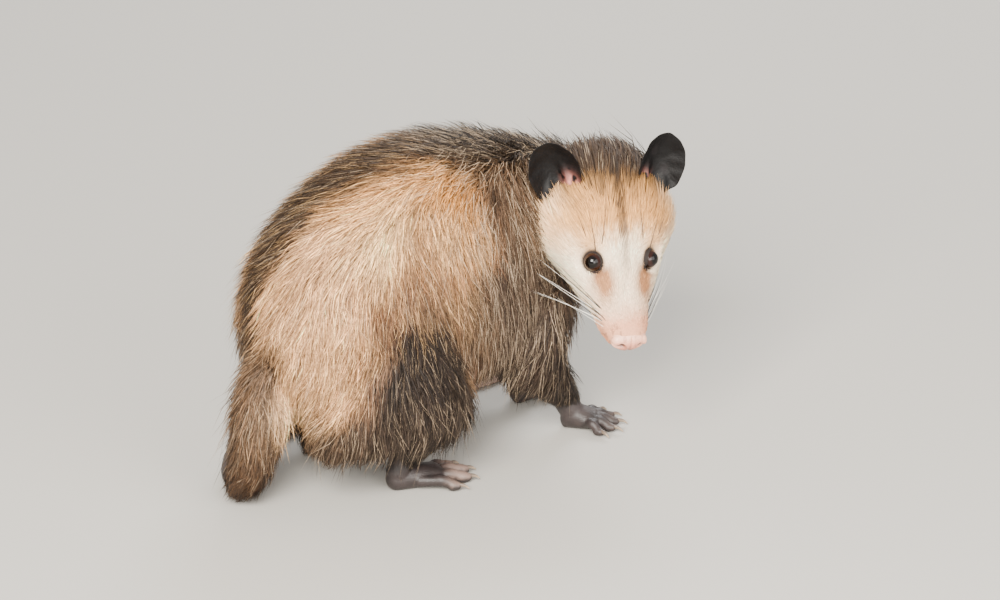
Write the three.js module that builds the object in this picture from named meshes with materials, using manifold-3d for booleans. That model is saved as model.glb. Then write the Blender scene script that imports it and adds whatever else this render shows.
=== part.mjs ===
// Virginia opossum, life size, standing bunched up with its head turned back over its right side.
// Millimetres, +Z up. Heading and places are laid out on the floor plan first, then the whole
// model is moved so that its origin is the middle of its bounding box, at floor height.
import * as THREE from 'three';
import { mergeVertices } from 'three/addons/utils/BufferGeometryUtils.js';
import Module from 'manifold-3d';

const wasm = await Module();
wasm.setup();

// Driving sizes
const GAP = 0.3;                 // clearance between touching parts
const SMALLEST = 0.05;           // detail finer than this is left out
const FLOOR = 0;                 // height of the floor
const COAT_CORE = 0.42;          // share of the coat's depth that the dense underfur core takes
const COAT_DEPTH = 20;           // how far the long coat stands over the skin on the trunk
const HEAD_PITCH = 47;           // degrees that the face points below level
const HEAD_YAW = 15;             // degrees that the face turns to +X from straight at -Y
const HEAD_ROLL = 9;             // degrees that the crown leans to +X
const SKULL_BACK = [113.5, 99, 187];
const EYE_RADIUS = 6.6;
const EAR_LENGTH = 46;
const EAR_WIDTH = 36;
const EAR_THICKNESS = 1.3;
const TAIL_SIDES = 10;
const SEED = 20417;

const rad = (degrees) => degrees * Math.PI / 180;
const vec = (x, y, z) => new THREE.Vector3(x, y, z);
const clamp = THREE.MathUtils.clamp;
const mix = THREE.MathUtils.lerp;

// Seeded random numbers
function makeRandom(seed) {
  let state = seed;
  return () => {
    state = (state + 0x6D2B79F5) | 0;
    let t = Math.imul(state ^ (state >>> 15), 1 | state);
    t = (t + Math.imul(t ^ (t >>> 7), 61 | t)) ^ t;
    return ((t ^ (t >>> 14)) >>> 0) / 4294967296;
  };
}

// Smooth value through a list of numbers, u counts the stations
function along(values, u) {
  const last = values.length - 1;
  const k = clamp(Math.floor(u), 0, last - 1);
  const f = u - k;
  const p1 = values[k];
  const p2 = values[k + 1];
  const p0 = k > 0 ? values[k - 1] : 2 * p1 - p2;
  const p3 = k + 2 <= last ? values[k + 2] : 2 * p2 - p1;
  return p1 + 0.5 * f * (p2 - p0 + f * (2 * p0 - 5 * p1 + 4 * p2 - p3 + f * (3 * (p1 - p2) + p3 - p0)));
}

// A closed body swept through stations: { at, wide, up, down }, rounded off at both ends.
// t is the angle round the section: 0 on top, 90 degrees on the right-hand side of the heading.
class Form {
  constructor({ stations, capStart, capEnd, sides = 16, level = false, ref = vec(0, 0, 1), square = 1 }) {
    this.x = stations.map((s) => s.at[0]);
    this.y = stations.map((s) => s.at[1]);
    this.z = stations.map((s) => s.at[2]);
    this.wide = stations.map((s) => s.wide);
    this.up = stations.map((s) => s.up ?? s.wide);
    this.down = stations.map((s) => s.down ?? s.up ?? s.wide);
    this.last = stations.length - 1;
    this.capStart = capStart;
    this.capEnd = capEnd;
    this.sides = sides;
    this.level = level;
    this.ref = ref;
    this.square = square;
  }

  centre(u) {
    return vec(along(this.x, u), along(this.y, u), along(this.z, u));
  }

  frame(u) {
    const step = 0.02;
    const a = clamp(u, 0, this.last);
    const heading = this.centre(Math.min(a + step, this.last)).sub(this.centre(Math.max(a - step, 0)));
    if (this.level) heading.z = 0;
    heading.normalize();
    const side = heading.clone().cross(this.ref).normalize();
    return { heading, side, up: side.clone().cross(heading).normalize() };
  }

  point(u, t, grow = 0) {
    const a = clamp(u, 0, this.last);
    const { heading, side, up } = this.frame(a);
    const past = u < 0 ? u : Math.max(0, u - this.last);
    const cap = (past < 0 ? this.capStart : this.capEnd) + grow;
    const turn = clamp(past, -1, 1) * Math.PI / 2;
    const scale = Math.cos(turn);
    const c = Math.cos(t);
    const s = Math.sin(t);
    const high = c > 0 ? along(this.up, a) : along(this.down, a);
    const e = this.square;
    const lateral = Math.sign(s) * Math.abs(s) ** e * (along(this.wide, a) + grow) * scale;
    const vertical = Math.sign(c) * Math.abs(c) ** e * (high + grow) * scale;
    return this.centre(a)
      .addScaledVector(heading, cap * Math.sin(turn))
      .addScaledVector(side, lateral)
      .addScaledVector(up, vertical);
  }

  // Surface derivatives and outward normal
  tangents(u, t, grow = 0) {
    const h = 0.01;
    const du = this.point(u + h, t, grow).sub(this.point(u - h, t, grow)).divideScalar(2 * h);
    const dt = this.point(u, t + h, grow).sub(this.point(u, t - h, grow)).divideScalar(2 * h);
    return { du, dt, normal: dt.clone().cross(du).normalize() };
  }

  // Parameters of the point reached by going a short way in a direction over the surface
  walk(u, t, way, distance, grow = 0) {
    const { du, dt } = this.tangents(u, t, grow);
    const a = du.dot(du);
    const b = du.dot(dt);
    const c = dt.dot(dt);
    const p = way.dot(du) * distance;
    const q = way.dot(dt) * distance;
    const det = Math.max(a * c - b * b, 1e-6);
    const nextU = u + clamp((p * c - q * b) / det, -0.6, 0.6);
    const nextT = t + clamp((a * q - b * p) / det, -0.6, 0.6);
    return [clamp(nextU, -0.93, this.last + 0.93), nextT];
  }

  // Whether a place lies inside the form
  holds(place, grow = 0) {
    const looks = 24;
    for (let k = 0; k <= looks; k += 1) {
      const u = this.last * k / looks;
      const { heading, side, up } = this.frame(u);
      const from = place.clone().sub(this.centre(u));
      const ahead = from.dot(heading);
      const past = (k === 0 && ahead < 0) ? this.capStart : (k === looks && ahead > 0) ? this.capEnd : 4;
      const high = from.dot(up);
      const tall = (high > 0 ? along(this.up, u) : along(this.down, u)) + grow;
      const ratio = (from.dot(side) / (along(this.wide, u) + grow)) ** 2 + (high / tall) ** 2
        + (ahead / (past + grow * (past > 4 ? 1 : 0))) ** 2;
      if (ratio < 1) return true;
    }
    return false;
  }

  geometry(steps, grow = 0, caps = 3, sides = this.sides) {
    const levels = [];
    for (let k = caps - 1; k > 0; k -= 1) levels.push(-k / caps);
    for (let k = 0; k <= steps; k += 1) levels.push(k * this.last / steps);
    for (let k = 1; k < caps; k += 1) levels.push(this.last + k / caps);
    const rings = levels.map((u) => Array.from({ length: sides },
      (_, k) => this.point(u, 2 * Math.PI * k / sides, grow)));
    return skinOf(rings, this.point(-1, 0, grow), this.point(this.last + 1, 0, grow));
  }

  solid(steps, grow = 0, caps = 3, sides = this.sides) {
    return solidOf(this.geometry(steps, grow, caps, sides));
  }
}

// Closed mesh over rings of equal length and two poles
function skinOf(rings, first, last) {
  const n = rings[0].length;
  const points = [first, ...rings.flat(), last];
  const index = [];
  const at = (r, k) => 1 + r * n + (k % n);
  for (let k = 0; k < n; k += 1) index.push(0, at(0, k), at(0, k + 1));
  for (let r = 0; r < rings.length - 1; r += 1) {
    for (let k = 0; k < n; k += 1) {
      index.push(at(r, k), at(r + 1, k), at(r + 1, k + 1), at(r, k), at(r + 1, k + 1), at(r, k + 1));
    }
  }
  const end = points.length - 1;
  for (let k = 0; k < n; k += 1) index.push(end, at(rings.length - 1, k + 1), at(rings.length - 1, k));
  return meshOf(points, index);
}

function meshOf(points, index) {
  const geometry = new THREE.BufferGeometry();
  const flat = new Float32Array(points.length * 3);
  points.forEach((p, k) => p.toArray(flat, 3 * k));
  geometry.setAttribute('position', new THREE.BufferAttribute(flat, 3));
  geometry.setIndex(index);
  return geometry;
}

// Solids: joining and cutting
function solidOf(geometry) {
  const plain = geometry.clone();
  plain.deleteAttribute('normal');
  plain.deleteAttribute('uv');
  const merged = mergeVertices(plain, 1e-4);
  const build = (triVerts) => new wasm.Manifold(new wasm.Mesh({
    numProp: 3,
    vertProperties: new Float32Array(merged.attributes.position.array),
    triVerts,
  }));
  const order = new Uint32Array(merged.index.array);
  const solid = build(order);
  if (solid.volume() > 0) return solid;
  return build(order.map((_, k) => order[k - (k % 3) + 2 - (k % 3)]));
}

function largest(solid) {
  const pieces = solid.decompose();
  return pieces.reduce((best, piece) => (piece.volume() > best.volume() ? piece : best));
}

const joined = (solids) => wasm.Manifold.union(solids);
const aboveFloor = (solid) => solid.trimByPlane([0, 0, 1], FLOOR);

// The two sides of a plane through a point, with the parting gap between them
function parted(solid, point, normal) {
  const n = normal.clone().normalize();
  const offset = n.dot(point);
  const front = solid.trimByPlane(n.toArray(), offset + GAP / 2);
  const back = solid.trimByPlane(n.clone().negate().toArray(), -(offset - GAP / 2));
  return [back, front];
}

// Head: sections across the line from the back of the skull to the nose, with the crown's fur
const headAxis = vec(
  Math.cos(rad(HEAD_PITCH)) * Math.sin(rad(HEAD_YAW)),
  -Math.cos(rad(HEAD_PITCH)) * Math.cos(rad(HEAD_YAW)),
  -Math.sin(rad(HEAD_PITCH)),
);
const levelRight = headAxis.clone().cross(vec(0, 0, 1)).normalize();
const headRight = levelRight.clone().applyAxisAngle(headAxis, -rad(HEAD_ROLL));
const headUp = headRight.clone().cross(headAxis).normalize();
const skullBack = vec(...SKULL_BACK);

// Place in the head: s along the face from the back of the skull, r to the animal's right, u up
const inHead = (s, r, u) => skullBack.clone()
  .addScaledVector(headAxis, s)
  .addScaledVector(headRight, r)
  .addScaledVector(headUp, u);

const HEAD_SECTIONS = [
  { s: 0, wide: 37, up: 35, down: 33 },
  { s: 14, wide: 42, up: 36.5, down: 37 },
  { s: 30, wide: 47.5, up: 33.5, down: 38 },
  { s: 46, wide: 45.5, up: 29.5, down: 36 },
  { s: 60, wide: 39, up: 25.5, down: 31 },
  { s: 74, wide: 31, up: 21, down: 26 },
  { s: 88, wide: 23, up: 16.5, down: 20.5 },
  { s: 101, wide: 17, up: 13.5, down: 15.5 },
  { s: 112, wide: 13.2, up: 11.8, down: 12 },
  { s: 118, wide: 11.8, up: 10.8, down: 9 },
];
const NOSE_START = 117.4;
const HEAD_STEPS = 15;
const head = new Form({
  stations: HEAD_SECTIONS.map(({ s, wide, up, down }) => ({ at: inHead(s, 0, 0).toArray(), wide, up, down })),
  capStart: 16,
  capEnd: 5,
  sides: 22,
  ref: headUp,
  square: 0.94,
});

const EYE = { s: 66, side: 20.5, up: 15.2, out: [0.36, 0.62, 0.7] };
const eyePlace = (hand) => inHead(EYE.s, hand * EYE.side, EYE.up);
const eyeOut = (hand) => vec(0, 0, 0)
  .addScaledVector(headAxis, EYE.out[0])
  .addScaledVector(headRight, hand * EYE.out[1])
  .addScaledVector(headUp, EYE.out[2])
  .normalize();

function ball(centre, radius, around = 12, rows = 8) {
  const geometry = new THREE.SphereGeometry(radius, around, rows);
  geometry.translate(centre.x, centre.y, centre.z);
  return solidOf(geometry);
}

// A closed ring of small round section through a loop of points
function loopTube(points, outward, halfWide, halfHigh, sides = 5) {
  const n = points.length;
  const middle = points.reduce((sum, p) => sum.add(p), vec(0, 0, 0)).divideScalar(n);
  const flat = [];
  points.forEach((p, k) => {
    const way = points[(k + 1) % n].clone().sub(points[(k + n - 1) % n]).normalize();
    const lift = outward.clone().addScaledVector(p.clone().sub(middle).normalize(), 0.3).normalize();
    const across = way.clone().cross(lift).normalize();
    const high = across.clone().cross(way).normalize();
    for (let j = 0; j < sides; j += 1) {
      const angle = 2 * Math.PI * j / sides;
      flat.push(p.clone()
        .addScaledVector(across, halfWide * Math.cos(angle))
        .addScaledVector(high, halfHigh * Math.sin(angle)));
    }
  });
  const index = [];
  for (let k = 0; k < n; k += 1) {
    const m = (k + 1) % n;
    for (let j = 0; j < sides; j += 1) {
      const i = (j + 1) % sides;
      index.push(k * sides + j, m * sides + i, m * sides + j, k * sides + j, k * sides + i, m * sides + i);
    }
  }
  return solidOf(meshOf(flat, index));
}

// Lid rims: an almond loop lying on the front of the eyeball
const LID = { points: 12, long: 0.97, tall: 0.86, over: 0.9, halfWide: 1.7, halfHigh: 1.3 };
function lidRing(hand) {
  const out = eyeOut(hand);
  const fore = headAxis.clone().addScaledVector(out, -headAxis.dot(out)).normalize();
  const across = out.clone().cross(fore).normalize();
  const centre = eyePlace(hand);
  const points = Array.from({ length: LID.points }, (_, k) => {
    const angle = 2 * Math.PI * k / LID.points;
    const x = Math.cos(angle) * EYE_RADIUS * LID.long;
    const y = Math.sin(angle) * EYE_RADIUS * LID.tall;
    const forward = Math.sqrt(Math.max(0, (EYE_RADIUS + LID.over) ** 2 - x * x - y * y));
    return centre.clone().addScaledVector(fore, x).addScaledVector(across, y).addScaledVector(out, forward);
  });
  return loopTube(points, out, LID.halfWide, LID.halfHigh);
}

// A thin groove for the line of the mouth, from under the nose to below the eye
const MOUTH = { from: 113, to: 66, sink: 0.6, half: 0.5, deep: 1.5, steps: 8, front: 126, back: 110, sag: 8 };
function mouthLine(hand) {
  const stations = Array.from({ length: MOUTH.steps + 1 }, (_, k) => {
    const f = k / MOUTH.steps;
    const angle = rad(mix(MOUTH.front, MOUTH.back, f) - MOUTH.sag * Math.sin(Math.PI * f));
    const place = head.point(stationOf(mix(MOUTH.from, MOUTH.to, f)), hand * angle, -MOUTH.sink);
    return { at: place.toArray(), wide: MOUTH.deep, up: MOUTH.half };
  });
  return new Form({ stations, capStart: 1, capEnd: 1, sides: 4, ref: headUp }).solid(MOUTH.steps, 0, 1);
}

// Station number of a distance along the head
function stationOf(s) {
  const list = HEAD_SECTIONS.map((q) => q.s);
  let k = 0;
  while (k < list.length - 2 && s > list[k + 1]) k += 1;
  return k + (s - list[k]) / (list[k + 1] - list[k]);
}

function buildNose() {
  const pad = new Form({
    stations: [
      { at: inHead(NOSE_START - 3, 0, 1).toArray(), wide: 10.6, up: 9.4, down: 7 },
      { at: inHead(NOSE_START + 3, 0, 1.4).toArray(), wide: 11.2, up: 9, down: 6.6 },
      { at: inHead(NOSE_START + 6, 0, 2).toArray(), wide: 9.2, up: 6.8, down: 5 },
    ],
    capStart: 2,
    capEnd: 2.6,
    sides: 16,
    ref: headUp,
  }).solid(4, 0, 2);
  const wings = [-1, 1].map((hand) => ball(inHead(NOSE_START + 4, hand * 7.4, 2.6), 4.6, 10, 6));
  const holes = [-1, 1].map((hand) => new Form({
    stations: [
      { at: inHead(NOSE_START + 2, hand * 4.6, 2).toArray(), wide: 1.7, up: 1.5 },
      { at: inHead(NOSE_START + 14, hand * 9.4, 2.4).toArray(), wide: 2.2, up: 1.8 },
    ],
    capStart: 1,
    capEnd: 1,
    sides: 8,
    ref: headUp,
  }).solid(1, 0, 1));
  const whole = joined([pad, ...wings]).subtract(joined(holes));
  return largest(parted(whole, inHead(NOSE_START, 0, 0), headAxis)[1]);
}

function buildHead() {
  const skull = joined([head.solid(HEAD_STEPS), lidRing(1), lidRing(-1)]);
  const sockets = [1, -1].map((hand) => ball(eyePlace(hand), EYE_RADIUS + GAP));
  const cut = skull.subtract(joined([...sockets, mouthLine(1), mouthLine(-1)]));
  return largest(parted(cut, inHead(NOSE_START, 0, 0), headAxis)[0]);
}

// Ears: thin cupped leaves with a round outline. The right one leans further out than the left.
const EAR = { s: 18.5, side: 33.5, up: 17.5, sink: 3, cup: 9, curl: 2.4, points: 16, rings: [0.4, 0.75, 1] };
const EAR_LEAN = { right: 0.5, left: 0.12 };
function earFrame(hand) {
  const base = inHead(EAR.s, hand * EAR.side, EAR.up);
  const long = vec(0, 0, 0)
    .addScaledVector(headAxis, -0.66)
    .addScaledVector(headRight, hand * (hand > 0 ? EAR_LEAN.right : EAR_LEAN.left))
    .addScaledVector(headUp, 0.66)
    .normalize();
  const facing = vec(0, 0, 0)
    .addScaledVector(headAxis, 0.55)
    .addScaledVector(headRight, hand * 0.35)
    .addScaledVector(headUp, 0.76);
  facing.addScaledVector(long, -facing.dot(long)).normalize();
  return { base, long, facing, across: long.clone().cross(facing).normalize() };
}

function earSolid(hand, grow = 0) {
  const { base, long, facing, across } = earFrame(hand);
  const place = (f, angle, side) => {
    const x = Math.sin(angle) * (EAR_WIDTH / 2) * f;
    const y = EAR_LENGTH * (0.5 - 0.5 * Math.cos(angle) * f);
    const cup = EAR.cup * (1 - f * f) + EAR.curl * Math.cos(2 * angle) * f * f;
    const half = (EAR_THICKNESS / 2 + grow) * side;
    return base.clone()
      .addScaledVector(across, x)
      .addScaledVector(long, y - EAR.sink)
      .addScaledVector(facing, half - cup);
  };
  const n = EAR.points;
  const ringAngles = Array.from({ length: n }, (_, k) => 2 * Math.PI * k / n);
  const back = EAR.rings.map((f) => ringAngles.map((angle) => place(f, angle, -1)));
  const front = EAR.rings.map((f) => ringAngles.map((angle) => place(f, angle, 1))).reverse();
  return solidOf(skinOf([...back, ...front], place(0, 0, -1), place(0, 0, 1)));
}

// Trunk: upright sections along the floor plan of the spine, out to the tips of the coat
const TRUNK_SECTIONS = [
  { name: 'rumpEnd', x: -101, y: -14, top: 168, bottom: 74, half: 46 },
  { name: 'rump', x: -84, y: -1, top: 200, bottom: 44, half: 62 },
  { name: 'pelvis', x: -55, y: 20, top: 223, bottom: 36, half: 72 },
  { name: 'loin', x: -20, y: 48, top: 234, bottom: 40, half: 74 },
  { name: 'back', x: 13, y: 74, top: 232, bottom: 43, half: 70 },
  { name: 'ribs', x: 41, y: 94, top: 225, bottom: 46, half: 60 },
  { name: 'shoulder', x: 62, y: 106, top: 217, bottom: 54, half: 50 },
  { name: 'chest', x: 80, y: 112, top: 208, bottom: 72, half: 42 },
];
const trunk = new Form({
  stations: TRUNK_SECTIONS.map(({ x, y, top, bottom, half }) => {
    const z = mix(bottom, top, 0.46);
    return { at: [x, y, z], wide: half, up: top - z, down: z - bottom };
  }),
  capStart: 18,
  capEnd: 20,
  sides: 24,
  level: true,
  square: 0.92,
});

const neck = new Form({
  stations: [
    { at: [64, 106, 150], wide: 47, up: 62, down: 56 },
    { at: [86, 109, 157], wide: 46, up: 58, down: 52 },
    { at: [108, 110, 168], wide: 44, up: 46, down: 46 },
  ],
  capStart: 12,
  capEnd: 18,
  sides: 20,
});

// Floor plan of the two girdles: a point and the heading there, in degrees from +X
const PELVIS = { x: -55, y: 20, heading: 38 };
const SHOULDERS = { x: 66, y: 109, heading: 25 };

// A place by its distance ahead of a girdle, out to one side (hand 1 is the right), and height
function inPlan(girdle, [ahead, aside, height], hand) {
  const angle = rad(girdle.heading);
  return [
    girdle.x + ahead * Math.cos(angle) + hand * aside * Math.sin(angle),
    girdle.y + ahead * Math.sin(angle) - hand * aside * Math.cos(angle),
    height,
  ];
}

const HIND = {
  hip: [-12, 39, 96],
  thigh: [14, 45, 80],
  knee: [39, 50, 66],
  shank: [29, 46, 42],
  hock: [15, 40, 21],
  heel: [11, 39, 9],
};
const FORE = {
  shoulder: [-2, 27, 112],
  arm: [-12, 30, 90],
  elbow: [-16, 31, 66],
  forearm: [2, 28, 43],
  wrist: [22, 26, 22],
};

// The left feet stand a little further back than the right ones
const STAGGER = {
  hip: 0, thigh: -6, knee: -12, shank: -12, hock: -12, heel: -12,
  shoulder: 0, arm: -6, elbow: -11, forearm: -14, wrist: -14,
};
function limbPlace(girdle, table, name, hand) {
  const [ahead, aside, height] = table[name];
  return inPlan(girdle, [ahead + (hand < 0 ? STAGGER[name] : 0), aside, height], hand);
}
const hindPlace = (name, hand) => limbPlace(PELVIS, HIND, name, hand);
const forePlace = (name, hand) => limbPlace(SHOULDERS, FORE, name, hand);

function hindForms(hand) {
  const at = (name) => hindPlace(name, hand);
  const thigh = new Form({
    stations: [
      { at: at('hip'), wide: 34, up: 50, down: 72 },
      { at: at('thigh'), wide: 33, up: 44, down: 60 },
      { at: at('knee'), wide: 27, up: 31, down: 38 },
    ],
    capStart: 26,
    capEnd: 20,
    sides: 12,
  });
  const shank = new Form({
    stations: [
      { at: at('knee'), wide: 19, up: 24 },
      { at: at('shank'), wide: 15, up: 19 },
      { at: at('hock'), wide: 9.5, up: 10 },
      { at: at('heel'), wide: 8, up: 8 },
    ],
    capStart: 8,
    capEnd: 6,
    sides: 10,
    ref: vec(1, 0.8, 0),
  });
  return { thigh, shank };
}

function foreForms(hand) {
  const at = (name) => forePlace(name, hand);
  const arm = new Form({
    stations: [
      { at: at('shoulder'), wide: 29, up: 34 },
      { at: at('arm'), wide: 28, up: 32 },
      { at: at('elbow'), wide: 24, up: 32 },
    ],
    capStart: 18,
    capEnd: 15,
    sides: 12,
    ref: vec(0.9, 0.4, 0),
  });
  const forearm = new Form({
    stations: [
      { at: at('elbow'), wide: 16, up: 19 },
      { at: at('forearm'), wide: 13, up: 15 },
      { at: at('wrist'), wide: 9.5, up: 9.5 },
    ],
    capStart: 8,
    capEnd: 7,
    sides: 10,
    ref: vec(0.6, 0, 0.8),
  });
  return { arm, forearm };
}

// Feet: a padded sole with spread toes, each with a small curved claw
const HIND_FOOT = {
  toes: [
    { fan: -27, from: 21, length: 22, radius: 4.1 },
    { fan: -10, from: 24, length: 27, radius: 4.3 },
    { fan: 4, from: 25, length: 28, radius: 4.3 },
    { fan: 18, from: 23, length: 25, radius: 4.1 },
  ],
  thumb: { fan: 74, from: 10, length: 22, radius: 4.4 },
};
const FORE_FOOT = {
  toes: [-46, -22, 0, 22, 46].map((fan, k) => ({
    fan, from: 9, length: [17, 20, 21, 20, 17][k], radius: 3.7,
  })),
};

function toeSolid(origin, turn, toe, claw) {
  const angle = rad(turn + toe.fan);
  const way = vec(Math.cos(angle), Math.sin(angle), 0);
  const at = (distance, height) => origin.clone().addScaledVector(way, distance).setZ(height).toArray();
  const end = toe.from + toe.length;
  const r = toe.radius;
  const stations = [
    { at: at(toe.from - 6, 6.6), wide: r + 0.6, up: r + 0.8 },
    { at: at(toe.from + toe.length * 0.45, 6.6), wide: r, up: r },
    { at: at(end - 3, 3.4), wide: r + 0.1, up: r - 0.4 },
  ];
  if (claw) {
    stations.push({ at: at(end + 1, 4), wide: 1.4, up: 1.6 });
    stations.push({ at: at(end + 6, 2), wide: 0.6, up: 0.7 });
  }
  const capEnd = claw ? 0.8 : 3;
  return new Form({ stations, capStart: 2, capEnd, sides: 6 }).solid(stations.length - 1, 0, 1);
}

// Feet point this far outwards of the heading of their girdle, in degrees
const TURN_OUT = { hind: 16, fore: 24 };

function hindFoot(hand) {
  const turn = PELVIS.heading - hand * TURN_OUT.hind;
  const heel = vec(...hindPlace('heel', hand));
  const way = vec(Math.cos(rad(turn)), Math.sin(rad(turn)), 0);
  const at = (distance, height) => heel.clone().addScaledVector(way, distance).setZ(height).toArray();
  const sole = new Form({
    stations: [
      { at: at(-1, 8), wide: 8.2, up: 8.5 },
      { at: at(14, 7.6), wide: 9.6, up: 8.4 },
      { at: at(27, 6.6), wide: 12.4, up: 7.4 },
    ],
    capStart: 7,
    capEnd: 6,
    sides: 10,
  }).solid(2, 0, 2);
  const toes = HIND_FOOT.toes.map((toe) => toeSolid(heel, turn, { ...toe, fan: hand * toe.fan }, true));
  const thumb = toeSolid(heel, turn, { ...HIND_FOOT.thumb, fan: hand * HIND_FOOT.thumb.fan }, false);
  return joined([sole, ...toes, thumb]);
}

function foreFoot(hand) {
  const turn = SHOULDERS.heading - hand * TURN_OUT.fore;
  const wrist = vec(...forePlace('wrist', hand));
  const way = vec(Math.cos(rad(turn)), Math.sin(rad(turn)), 0);
  const at = (distance, height) => wrist.clone().addScaledVector(way, distance).setZ(height).toArray();
  const palm = new Form({
    stations: [
      { at: at(0, 11), wide: 8.6, up: 8.8, down: 11.6 },
      { at: at(11, 7.2), wide: 11, up: 7.6 },
      { at: at(16, 6), wide: 10.5, up: 6.6 },
    ],
    capStart: 6,
    capEnd: 4,
    sides: 10,
  }).solid(2, 0, 2);
  const origin = wrist.clone().addScaledVector(way, 4);
  const toes = FORE_FOOT.toes.map((toe) => toeSolid(origin, turn, toe, true));
  return joined([palm, ...toes]);
}

// Tail: furred root hanging from the rump, naked from there, curled on the floor round the far side
const TAIL_STATIONS = [
  { at: [-86, -2, 112], wide: 22 },
  { at: [-103, -16, 92], wide: 22 },
  { at: [-114, -26, 68], wide: 20 },
  { at: [-119, -31, 42], wide: 17.5 },
  { at: [-124, -27, 20], wide: 14.5 },
  { at: [-131, -9, 10.8], wide: 11.2 },
  { at: [-132, 18, 10], wide: 10.4 },
  { at: [-125, 48, 9.3], wide: 9.7 },
  { at: [-108, 78, 8.5], wide: 8.9 },
  { at: [-83, 103, 7.7], wide: 8.1 },
  { at: [-54, 122, 6.9], wide: 7.3 },
  { at: [-23, 137, 6], wide: 6.4 },
  { at: [9, 150, 5], wide: 5.4 },
  { at: [39, 165, 4], wide: 4.4 },
  { at: [60, 186, 2.9], wide: 3.3 },
];
const tail = new Form({
  stations: TAIL_STATIONS,
  capStart: 14,
  capEnd: 4,
  sides: TAIL_SIDES,
  ref: vec(0.75, -0.65, 0),
});
const TAIL_CUTS = [{ u: 7.5, name: 'tail_base' }, { u: 10.5, name: 'tail_middle' }];

// Colours
const COLOURS = {
  cream: new THREE.MeshStandardMaterial({ color: 0xd9c4a0, roughness: 0.9, metalness: 0 }),
  face: new THREE.MeshStandardMaterial({ color: 0xeee2cf, roughness: 0.9, metalness: 0 }),
  grey: new THREE.MeshStandardMaterial({ color: 0x5f554c, roughness: 0.9, metalness: 0 }),
  dark: new THREE.MeshStandardMaterial({ color: 0x2a2422, roughness: 0.8, metalness: 0 }),
  pink: new THREE.MeshStandardMaterial({ color: 0xd9a79a, roughness: 0.6, metalness: 0 }),
  leather: new THREE.MeshStandardMaterial({ color: 0x1f1b1d, roughness: 0.55, metalness: 0 }),
  scale: new THREE.MeshStandardMaterial({ color: 0xc7ab9b, roughness: 0.7, metalness: 0 }),
  eye: new THREE.MeshStandardMaterial({ color: 0x140b08, roughness: 0.08, metalness: 0 }),
};

// Coat: flat tapered locks that follow the surface along the lie of the hair. Their roots are sunk
// in the underfur core and their tips reach the outside of the coat.
const LOCK = {
  fractions: [0, 0.38, 0.74],
  widths: [0.74, 1, 0.68],
  thicknesses: [1, 1, 0.7],
  sink: 4,
  substeps: 3,
  spread: 0.16,
  tries: 1400,
};
const random = makeRandom(SEED);
const vary = (amount) => 1 + amount * (2 * random() - 1);
const BACKWARD = vec(-0.84, -0.54, 0);
const MANE_BACKWARD = vec(-0.98, 0.02, 0.2);

// The hair runs backward on the upper side and turns downward on the sides
function lieFrom(backward, flankBack, drop) {
  return (place, normal) => {
    const high = clamp(normal.z, 0, 1);
    return backward.clone().multiplyScalar(mix(flankBack, 1, high)).add(vec(0, 0, -mix(1, drop, high)));
  };
}

function onSurface(way, normal) {
  return way.addScaledVector(normal, -way.dot(normal)).normalize();
}

function lockSolid(form, start, coat) {
  let [u, t] = start;
  const size = vary(LOCK.spread);
  const length = coat.length * size;
  const width = coat.width * vary(LOCK.spread);
  const veer = (2 * random() - 1) * coat.veer;
  const lie = (place, normal) => coat.lie(place, normal).applyAxisAngle(normal, veer);
  const first = form.point(u, t, coat.base);
  const firstNormal = form.tangents(u, t, coat.base).normal;
  const firstWay = onSurface(lie(first, firstNormal), firstNormal);
  const rings = [];
  let gone = 0;
  let tip = null;
  [...LOCK.fractions, 1].forEach((fraction, k) => {
    const distance = fraction * length;
    for (let j = 0; j < LOCK.substeps && distance > gone; j += 1) {
      const { normal } = form.tangents(u, t, coat.base);
      const way = onSurface(lie(first, normal), normal);
      [u, t] = form.walk(u, t, way, (distance - gone) / LOCK.substeps, coat.base);
    }
    gone = distance;
    const height = mix(-LOCK.sink, coat.lift * size, Math.min(1, fraction * 1.1) ** 0.75);
    const straight = first.clone().addScaledVector(firstWay, distance).addScaledVector(firstNormal, height);
    straight.z -= coat.sag * distance * fraction;
    const place = form.point(u, t, coat.base + height).lerp(straight, coat.loose * fraction);
    if (k === LOCK.fractions.length) {
      tip = place;
      return;
    }
    const { normal } = form.tangents(u, t, coat.base);
    const across = normal.clone().cross(onSurface(lie(place, normal), normal)).normalize();
    const halfWide = width * LOCK.widths[k] / 2;
    const halfThick = coat.thick * LOCK.thicknesses[k] / 2;
    rings.push([
      place.clone().addScaledVector(across, halfWide),
      place.clone().addScaledVector(normal, halfThick),
      place.clone().addScaledVector(across, -halfWide),
      place.clone().addScaledVector(normal, -halfThick),
    ]);
  });
  const root = rings[0].reduce((sum, p) => sum.add(p), vec(0, 0, 0)).divideScalar(4);
  return solidOf(skinOf(rings, root, tip));
}

// Locks scattered evenly over a form, none closer than the given spacings along and across the lie
function coatOf(form, coat) {
  const kept = [];
  const [uFrom, uTo] = coat.reach;
  for (let k = 0; k < LOCK.tries; k += 1) {
    const u = mix(uFrom, uTo, random());
    const t = mix(coat.round[0], coat.round[1], random());
    const place = form.point(u, t, coat.base);
    const { normal } = form.tangents(u, t, coat.base);
    const way = onSurface(coat.lie(place, normal), normal);
    const crowded = kept.some((other) => {
      const apart = place.clone().sub(other.place);
      const lengthwise = apart.dot(way);
      const acrossSquared = apart.lengthSq() - lengthwise * lengthwise;
      return (lengthwise / coat.along) ** 2 + acrossSquared / coat.across ** 2 < 1;
    });
    const covered = coat.clear.some(([other, grow]) => other.holds(place, grow));
    if (!crowded && !covered && place.z > coat.lowest) kept.push({ place, u, t });
  }
  return kept.map(({ u, t }) => lockSolid(form, [u, t], coat));
}

const nodes = new Map();
const keep = (name, solid, colour) => nodes.set(name, { solid: largest(solid.simplify(SMALLEST)), colour });

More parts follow.
